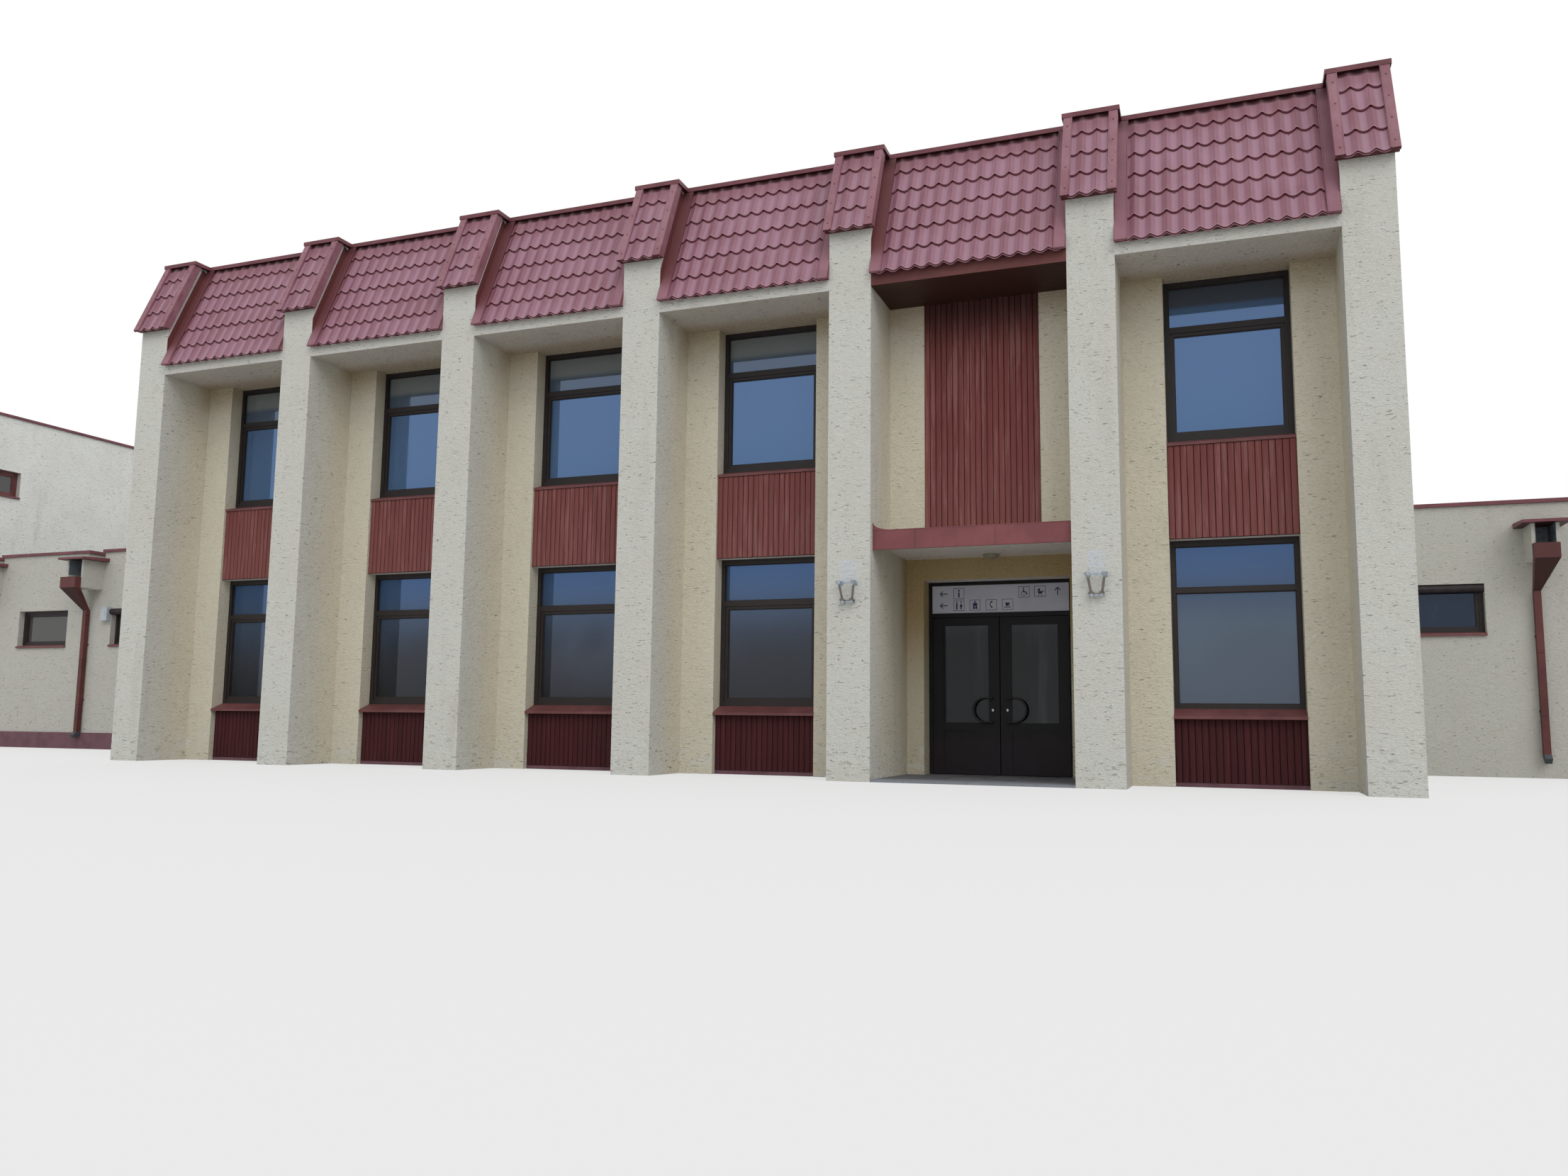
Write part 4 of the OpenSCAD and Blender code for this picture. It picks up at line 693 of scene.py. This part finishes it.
def tileTree():
    g = Repeat("metalTileSheet", ["Rows"],
               ["Width", "Row Length", "Length", "Wave", "Height", "Scallop", "Step", "Drop",
                "Lift", "Lean", "Fineness", "Phase"])
    perRow = 5  # points along one row, from its lip to the next lip
    columns = g.given("Width") / g.given("Wave") * g.given("Fineness")
    across = g.node("ShaderNodeMath", {"operation": "ROUND"}, {0: columns})
    along = g.given("Rows") * float(perRow)
    grid = g.node("GeometryNodeMeshGrid", {}, {"Size X": g.given("Width"), "Size Y": 1.0,
                                               "Vertices X": across, "Vertices Y": along})
    j = g.node("GeometryNodeInputIndex") % along
    row = (j / float(perRow)).floor()
    part = (j - row * float(perRow)) / float(perRow - 1)
    place = g.node("ShaderNodeSeparateXYZ", {}, {0: g.node("GeometryNodeInputPosition")})
    x = place + g.given("Width") * 0.5
    pan = ((x + g.given("Phase")) / g.given("Wave") * pi).cosine().size()
    crest = 1 - pan ** tiles["arch"]
    bead = (1 - part * 9.0).most(0.0) * tiles["bead"]  # the lip is folded thicker
    v = (row + part) * g.given("Row Length") + g.given("Scallop") * crest - g.given("Drop")
    out = g.given("Lift") + g.given("Height") * crest - g.given("Step") * part + bead
    sheet = g.node("GeometryNodeSetPosition", {},
                   {0: grid, 2: g.spot(x, v.least(g.given("Length")), out)})
    g.close(g.node("GeometryNodeInstanceOnPoints", {}, {0: g.given("Geometry"), 2: sheet}))
    return g


tileSheet = tileTree()


def tileMesh(points, width, rise, phase, finish):
    length = rise / leanCosine
    values = {"Width": width, "Rows": ceil(length / hall["row"]), "Row Length": hall["row"],
              "Length": length, "Wave": tiles["wave"], "Height": tiles["height"],
              "Scallop": tiles["scallop"], "Step": hall["step"] * leanCosine,
              "Drop": tiles["drop"], "Lift": tiles["lift"], "Lean": leanAngle,
              "Fineness": float(tiles["fine"]), "Phase": phase, "Material": finishes[finish]}
    sheet = tileSheet.applied(points, values)
    values.update({"Rows": 1, "Row Length": tiles["rimDeep"], "Step": 0.0})
    away = (Vector((0, leanCosine, -leanSine)) * tiles["rimBack"]
            - Vector((0, leanSine, leanCosine)) * tiles["rimDrop"])
    rim = tileSheet.applied([point + away for point in points], values)
    whole = thickened(join([sheet, rim]), tiles["gauge"])
    whole.materials.append(finishes[finish])
    return softened(whole, 38)


addPiece("bay_tile_sheets", tileMesh(
    [at(bayLeft(i), hall["tileFront"], hall["tileBase"]) for i in bays],
    bayWidth, hall["top"] - hall["tileBase"], tiles["bayPhase"], "bayTile"), "bayTile")
addPiece("cap_tile_sheets", tileMesh(
    [at(capLeft(i), hall["capFront"], hall["capBase"]) for i in piers],
    capWidth, hall["top"] - hall["capBase"], tiles["capPhase"], "capTile"), "capTile")
print("tile sheets ready")

strips = {  # folded strips along the edges of the tiles
    "bayLeft": 0.152, "bayRight": 0.145, "cap": 0.105, "capOver": 0.003, "height": 0.031,
    "lip": 0.006, "hem": (0.004, 0.010, 0.014), "under": 0.004, "below": 0.016,
    "upstand": 0.115, "sheet": 0.004, "gap": 0.0005, "short": 0.06,
}


def slopePoint(x, v, out, y0, z0):  # v up the slope and out of it, from its foot
    return at(x, y0 + v * leanSine - out * leanCosine, z0 + v * leanCosine + out * leanSine)


def flatStrip(x0, x1, hemOnRight):  # a section across the strip, with its raised hem
    h, top = strips["height"], strips["height"] + strips["lip"]
    outer, middle, inner = strips["hem"]
    if hemOnRight:
        hem = [(x1, h), (x1 - outer, top), (x1 - middle, top), (x1 - inner, h), (x0, h)]
    else:
        hem = [(x1, h), (x0 + inner, h), (x0 + middle, top), (x0 + outer, top), (x0, h)]
    return [(x0, -strips["under"]), (x1, -strips["under"])] + hem


def stripAlong(profile, y0, z0, run):
    foot, head = [[slopePoint(x, v, out, y0, z0) for x, out in profile]
                  for v in (-strips["below"], run)]
    return prism(head, foot)


def upstandBeside(x0, x1):  # turned up the pier's side, cut back to the pier's face at its foot
    y0, z0, tall = hall["tileFront"], hall["tileBase"], strips["upstand"]
    start = -y0 / leanSine
    full = (tall * leanCosine - y0) / leanSine
    end = bayRun - strips["short"]
    outline = [(start, 0.0), (full, tall), (end, tall), (end, -strips["under"]),
               (start, -strips["under"])]
    left, right = [[slopePoint(x, v, out, y0, z0) for v, out in outline] for x in (x0, x1)]
    return prism(right, left)


stripMeshes, cornerMeshes = [], []
bayRun = (hall["top"] - hall["tileBase"]) / leanCosine
capRun = (hall["top"] - hall["capBase"]) / leanCosine
for i in bays:
    left, right = bayLeft(i), bayLeft(i) + bayWidth
    for x0, x1, hemOnRight in ((left, left + strips["bayLeft"], True),
                               (right - strips["bayRight"], right, False)):
        cornerMeshes.append(stripAlong(flatStrip(x0, x1, hemOnRight), hall["tileFront"],
                                       hall["tileBase"], bayRun))
    for x0 in (left + strips["gap"], right - strips["gap"] - strips["sheet"]):
        cornerMeshes.append(upstandBeside(x0, x0 + strips["sheet"]))
for i in piers:
    left, right = capLeft(i), capLeft(i) + capWidth
    for x0, x1, hemOnRight in ((left - strips["capOver"], left + strips["cap"], True),
                               (right - strips["cap"], right + strips["capOver"], False)):
        stripMeshes.append(stripAlong(flatStrip(x0, x1, hemOnRight), hall["capFront"],
                                      hall["capBase"], capRun))
addPiece("tile_edge_strips", join(stripMeshes), "strip")
addPiece("bay_corner_strips", join(cornerMeshes), "cornerStrip")
print("edge strips ready")

screws = {  # hexagon heads on washers, in the pans just under the lips and on the strips
    "head": 0.0065, "washer": 0.0105, "tall": 0.007, "below": 0.030, "rows": 5, "every": 3,
    "clear": 0.03, "stripSide": 0.05, "stripStart": 0.10, "stripStep": 0.36,
}


def screwTree():
    g = Repeat("hexScrews", [], ["Head", "Washer", "Tall", "Lean"])
    head = g.node("GeometryNodeMeshCylinder", {}, {"Vertices": 6, "Radius": g.given("Head"),
                                                   "Depth": g.given("Tall") * 2.0})
    plate = g.node("GeometryNodeMeshCylinder", {}, {"Vertices": 10, "Radius": g.given("Washer"),
                                                    "Depth": g.given("Tall") * 0.5})
    both = g.node("GeometryNodeJoinGeometry", {}, {0: head})
    g.tree.links.new(plate.socket, both.socket.node.inputs[0])
    place = g.node("ShaderNodeSeparateXYZ", {}, {0: g.node("GeometryNodeInputPosition")})
    turned = g.node("GeometryNodeSetPosition", {},
                    {0: both, 2: g.spot(place, place.other("Y"), place.other("Z"))})
    g.close(g.node("GeometryNodeInstanceOnPoints", {}, {0: g.given("Geometry"), 2: turned}))
    return g


screwPoints = []
for i in bays:
    for k in range(1, screws["rows"] + 1):
        for n in range(1, int(bayWidth / tiles["wave"])):
            x = n * tiles["wave"] - tiles["bayPhase"]
            inSheet = (strips["bayLeft"] + screws["clear"] < x
                       < bayWidth - strips["bayRight"] - screws["clear"])
            if inSheet and (n + k) % screws["every"] == 0:
                v = k * hall["row"] - tiles["drop"] - screws["below"]
                screwPoints.append(slopePoint(bayLeft(i) + x, v, tiles["lift"] - hall["step"] * 0.8,
                                              hall["tileFront"], hall["tileBase"]))
for i in piers:
    for k in range(int((capRun - screws["stripStart"]) / screws["stripStep"]) + 1):
        for side in (screws["stripSide"], capWidth - screws["stripSide"]):
            v = screws["stripStart"] + k * screws["stripStep"]
            screwPoints.append(slopePoint(capLeft(i) + side, v, strips["height"],
                                          hall["capFront"], hall["capBase"]))
addPiece("tile_screws", screwTree().applied(screwPoints, {
    "Head": screws["head"], "Washer": screws["washer"], "Tall": screws["tall"],
    "Lean": leanAngle, "Material": finishes["coping"]}), "coping")
print("screws ready")


def boardTree():
    g = Repeat("boardRow", ["Count"], ["Pitch", "Gap", "Height", "Thickness", "Round"])
    pitch, gap = g.given("Pitch"), g.given("Gap")
    outline = g.node("GeometryNodeCurvePrimitiveQuadrilateral", {},
                     {"Width": pitch - gap, "Height": g.given("Thickness")})
    outline = g.node("GeometryNodeFilletCurve", {}, {0: outline, "Radius": g.given("Round")})
    top = g.node("ShaderNodeCombineXYZ", {}, {2: g.given("Height")})
    rise = g.node("GeometryNodeCurvePrimitiveLine", {}, {"Start": (0, 0, 0), "End": top})
    board = g.node("GeometryNodeCurveToMesh", {}, {0: rise, 1: outline, "Fill Caps": True})
    board = g.node("GeometryNodeTransform", {}, {0: board, "Translation": g.node(
        "ShaderNodeCombineXYZ", {}, {0: pitch * 0.5, 1: g.given("Thickness") * -0.5})})
    row = g.node("GeometryNodeMeshLine", {}, {"Count": g.given("Count"),
                 "Offset": g.node("ShaderNodeCombineXYZ", {}, {0: pitch})})
    rows = g.node("GeometryNodeInstanceOnPoints", {}, {0: row, 2: board})
    g.close(g.node("GeometryNodeInstanceOnPoints", {}, {0: g.given("Geometry"), 2: rows}))
    return g


boardRow = boardTree()


def addBoards(name, panel, lefts, width, count, finish):
    low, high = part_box(panel)
    made = boardRow.applied([Vector((x, low[1], low[2] + boards["inset"])) for x in lefts], {
        "Count": count, "Pitch": width / count, "Gap": boards["gap"],
        "Height": high[2] - low[2] - 2 * boards["inset"], "Thickness": boards["thick"],
        "Round": boards["round"], "Material": finishes[finish]})
    addPiece(name, softened(made, 50), finish)


stripLefts = [corner.x + bayLeft(i) + (bayWidth - hall["strip"]) / 2
              for i in bays if i != hall["entrance"]]
addBoards("spandrel_boards", "spandrel_panels", stripLefts, hall["strip"], boards["count"],
          "board")
addBoards("apron_boards", "apron_panels", stripLefts, hall["strip"], boards["count"],
          "darkBoard")
low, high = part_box("entrance_panel")
addBoards("entrance_boards", "entrance_panel", [low[0]], high[0] - low[0],
          boards["entranceCount"], "board")
print("boards ready")

canopy = {  # joints and folded hems of the canopy's sheet
    "seams": (13.097, 14.086), "seamWidth": 0.016, "seamProud": 0.002, "sheet": 0.25,
    "hem": 0.012, "topHem": 0.010, "hemProud": 0.003,
}

low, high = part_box("canopy_edge")
front, top = low[1] - canopy["hemProud"], low[2] + canopy["sheet"]
seams = [block((corner.x + x, low[1] - canopy["seamProud"], low[2]),
               (corner.x + x + canopy["seamWidth"], low[1], top)) for x in canopy["seams"]]
hems = [block((low[0], front, low[2]), (high[0], low[1], low[2] + canopy["hem"])),
        block((low[0], front, top - canopy["topHem"]), (high[0], low[1], top))]
addPiece("canopy_seams", join(seams), "sill")
addPiece("canopy_hems", join(hems), "canopySheet")

lining = {"thick": 0.002, "off": 0.001}  # sheet in the mouths of the rain spouts
off, reach = lining["off"], lining["off"] + lining["thick"]
trays = []
for opening in frame["record"]["physics"]["openings"]:
    if opening["name"].startswith("spout_mouth"):
        (x0, y0, z0), (x1, y1, z1) = opening["box_m"]
        trays += [block((x0 - reach, y0, z0), (x0 - off, y1, z1)),
                  block((x1 + off, y0, z0), (x1 + reach, y1, z1)),
                  block((x0 - off, y1 + off, z0), (x1 + off, y1 + reach, z1))]
addPiece("spout_linings", join(trays), "lead")
print("sheet metal ready")


def arc(cx, cy, r, start=0, end=360, count=18):
    return [(cx + r * cos(radians(start + (end - start) * k / count)),
             cy + r * sin(radians(start + (end - start) * k / count)))
            for k in range(count if end - start == 360 else count + 1)]


def bar(x0, y0, x1, y1):
    return [(x0, y0), (x1, y0), (x1, y1), (x0, y1)]


def bow(cx, cy, inner, outer, start, end):
    return arc(cx, cy, outer, start, end) + arc(cx, cy, inner, start, end)[::-1]


# plain symbols without words, each in a square that reaches from -0.5 to 0.5
arrow = [(-0.5, 0), (-0.17, -0.34), (-0.02, -0.34), (-0.28, -0.06), (0.5, -0.06), (0.5, 0.06),
         (-0.28, 0.06), (-0.02, 0.34), (-0.17, 0.34)]
arrows = {"left": [arrow], "up": [[(-y, -x) for x, y in arrow]]}
outlineBox = [bar(-0.5, -0.5, 0.5, -0.46), bar(-0.5, 0.46, 0.5, 0.5),
              bar(-0.5, -0.458, -0.46, 0.458), bar(0.46, -0.458, 0.5, 0.458)]
boxed = {
    "help": [arc(0, 0.27, 0.09), bar(-0.07, -0.34, 0.07, 0.12)],
    "wheels": [arc(-0.05, 0.33, 0.07), bow(-0.04, -0.14, 0.17, 0.22, 100, 350),
               [(-0.10, 0.23), (0.01, 0.23), (0.03, 0.04), (0.22, 0.02), (0.34, -0.24),
                (0.26, -0.27), (0.16, -0.06), (-0.08, -0.06)]],
    "pram": [arc(0.02, 0.02, 0.24, 180, 360), arc(0.02, 0.05, 0.24, 90, 180) + [(0.02, 0.05)],
             arc(-0.12, -0.34, 0.06), arc(0.16, -0.34, 0.06), bar(0.24, 0.02, 0.40, 0.07)],
    "people": [arc(-0.2, 0.31, 0.07), bar(-0.27, -0.36, -0.13, 0.21), arc(0.2, 0.31, 0.07),
               [(0.2, 0.21), (0.04, -0.12), (0.14, -0.12), (0.14, -0.36), (0.26, -0.36),
                (0.26, -0.12), (0.36, -0.12)]],
    "waiting": [arc(0, 0.31, 0.08), bar(-0.2, -0.08, 0.2, 0.2), bar(-0.2, -0.36, -0.03, -0.1),
                bar(0.03, -0.36, 0.2, -0.1)],
    "call": [bow(0.16, 0.04, 0.22, 0.30, 115, 245), bar(-0.04, 0.22, 0.12, 0.34),
             bar(-0.04, -0.28, 0.12, -0.16)],
    "drink": [[(-0.22, 0.16), (-0.16, -0.14), (0.10, -0.14), (0.16, 0.16)],
              bow(0.15, 0.03, 0.05, 0.09, -90, 90), bar(-0.32, -0.28, 0.32, -0.21)],
}
signPictures = {  # places across and down are parts of the sign's width and height
    "box": 0.15, "arrow": 0.1125, "thick": 0.0008,
    "rows": [(0.29, [(0.085, "left"), (0.20, "help"), (0.68, "wheels"), (0.795, "pram"),
                     (0.92, "up")]),
             (0.72, [(0.085, "left"), (0.20, "people"), (0.32, "waiting"), (0.44, "call"),
                     (0.56, "drink")])],
}


def turnsLeft(shape):
    pairs = zip(shape, shape[1:] + shape[:1])
    return sum(x0 * y1 - x1 * y0 for (x0, y0), (x1, y1) in pairs) > 0


def signPlates(kind, x, z, front):  # thin plates that stand on the sign's face
    size = signPictures["arrow"] if kind in arrows else signPictures["box"]
    plates = []
    for shape in arrows.get(kind) or boxed[kind] + outlineBox:
        shape = shape if turnsLeft(shape) else shape[::-1]
        back, face = [[(x + u * size, y, z + v * size) for u, v in shape]
                      for y in (front, front - signPictures["thick"])]
        plates.append(prism(back, face))
    return plates


low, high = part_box("door_sign")
plates = []
for down, row in signPictures["rows"]:
    for across, kind in row:
        plates += signPlates(kind, low[0] + across * (high[0] - low[0]),
                             high[2] - down * (high[2] - low[2]), low[1])
addPiece("sign_pictures", join(plates), "ink")
print("sign ready")

photo = {  # the frame's width and the focal length in its pixels, the eye in metres, degrees
    "width": 2212, "focal": 1638.8, "place": (16.585, -13.728, 0.699),
    "yaw": 20.61, "pitch": 6.638, "roll": 0.624,
}


def addCamera():
    yaw, pitch, roll = (radians(photo[k]) for k in ("yaw", "pitch", "roll"))
    ahead = Vector((-sin(yaw) * cos(pitch), cos(yaw) * cos(pitch), sin(pitch)))
    right = Vector((cos(yaw), sin(yaw), 0.0))
    up = right.cross(ahead)
    side = right * cos(roll) + up * sin(roll)
    head = up * cos(roll) - right * sin(roll)
    lens = bpy.data.cameras.new("photoView")
    lens.sensor_width = 36.0
    lens.lens = photo["focal"] / photo["width"] * lens.sensor_width
    lens.clip_end = 400.0
    camera = objectOf("photoView", lens)
    turn = Matrix((side, head, -ahead)).transposed().to_4x4()
    camera.matrix_world = Matrix.Translation(at(*photo["place"])) @ turn
    bpy.context.scene.camera = camera


stage = {  # half the floor's side, its grey and how white the camera sees it, the sky's strength
    "reach": 150.0, "drop": 0.001, "grey": 0.50, "seen": 0.60, "sky": 0.93,
    "lamps": (("softFront", 0.92, 45, (48, 0, 40)), ("softBack", 0.25, 70, (-50, 0, 20))),
}
white = (1.0, 1.0, 1.0, 1.0)


def addFloor():
    size, z, grey = stage["reach"], -stage["drop"], stage["grey"]
    floor = objectOf("floor", meshOf(
        [(-size, -size, z), (size, -size, z), (size, size, z), (-size, size, z)], [(0, 1, 2, 3)]))
    material = bpy.data.materials.new("paleFloor")
    g = Graph(emptied(material))
    matt = g.node("ShaderNodeBsdfDiffuse", {}, {"Color": (grey, grey, grey * 0.98, 1.0)})
    bright = g.node("ShaderNodeEmission", {}, {"Color": white, "Strength": 1.0})
    share = g.node("ShaderNodeLightPath").other("Is Camera Ray") * stage["seen"]
    both = g.node("ShaderNodeMixShader", {}, {0: share, 1: matt, 2: bright})
    g.node("ShaderNodeOutputMaterial", {}, {"Surface": both})
    floor.data.materials.append(material)


def addSky():  # soft light on the building, plain white behind it and in its glass
    world = bpy.data.worlds.new("softSky")
    bpy.context.scene.world = world
    g = Graph(emptied(world))
    path = g.node("ShaderNodeLightPath")
    seen = path.other("Is Camera Ray").most(path.other("Is Transmission Ray"))
    seen = seen.most(path.other("Is Glossy Ray"))
    soft = g.node("ShaderNodeBackground", {}, {"Color": (0.97, 0.985, 1.0, 1.0),
                                               "Strength": stage["sky"]})
    pale = g.node("ShaderNodeBackground", {}, {"Color": white, "Strength": 1.0})
    both = g.node("ShaderNodeMixShader", {}, {0: seen, 1: soft, 2: pale})
    g.node("ShaderNodeOutputWorld", {}, {"Surface": both})


def addLamps():
    for name, strength, spread, turn in stage["lamps"]:
        lamp = bpy.data.lights.new(name, "SUN")
        lamp.energy = strength
        lamp.angle = radians(spread)
        objectOf(name, lamp).rotation_euler = [radians(a) for a in turn]


addCamera()
addFloor()
addSky()
addLamps()
bpy.context.scene.view_settings.view_transform = "Standard"
print("stage ready")
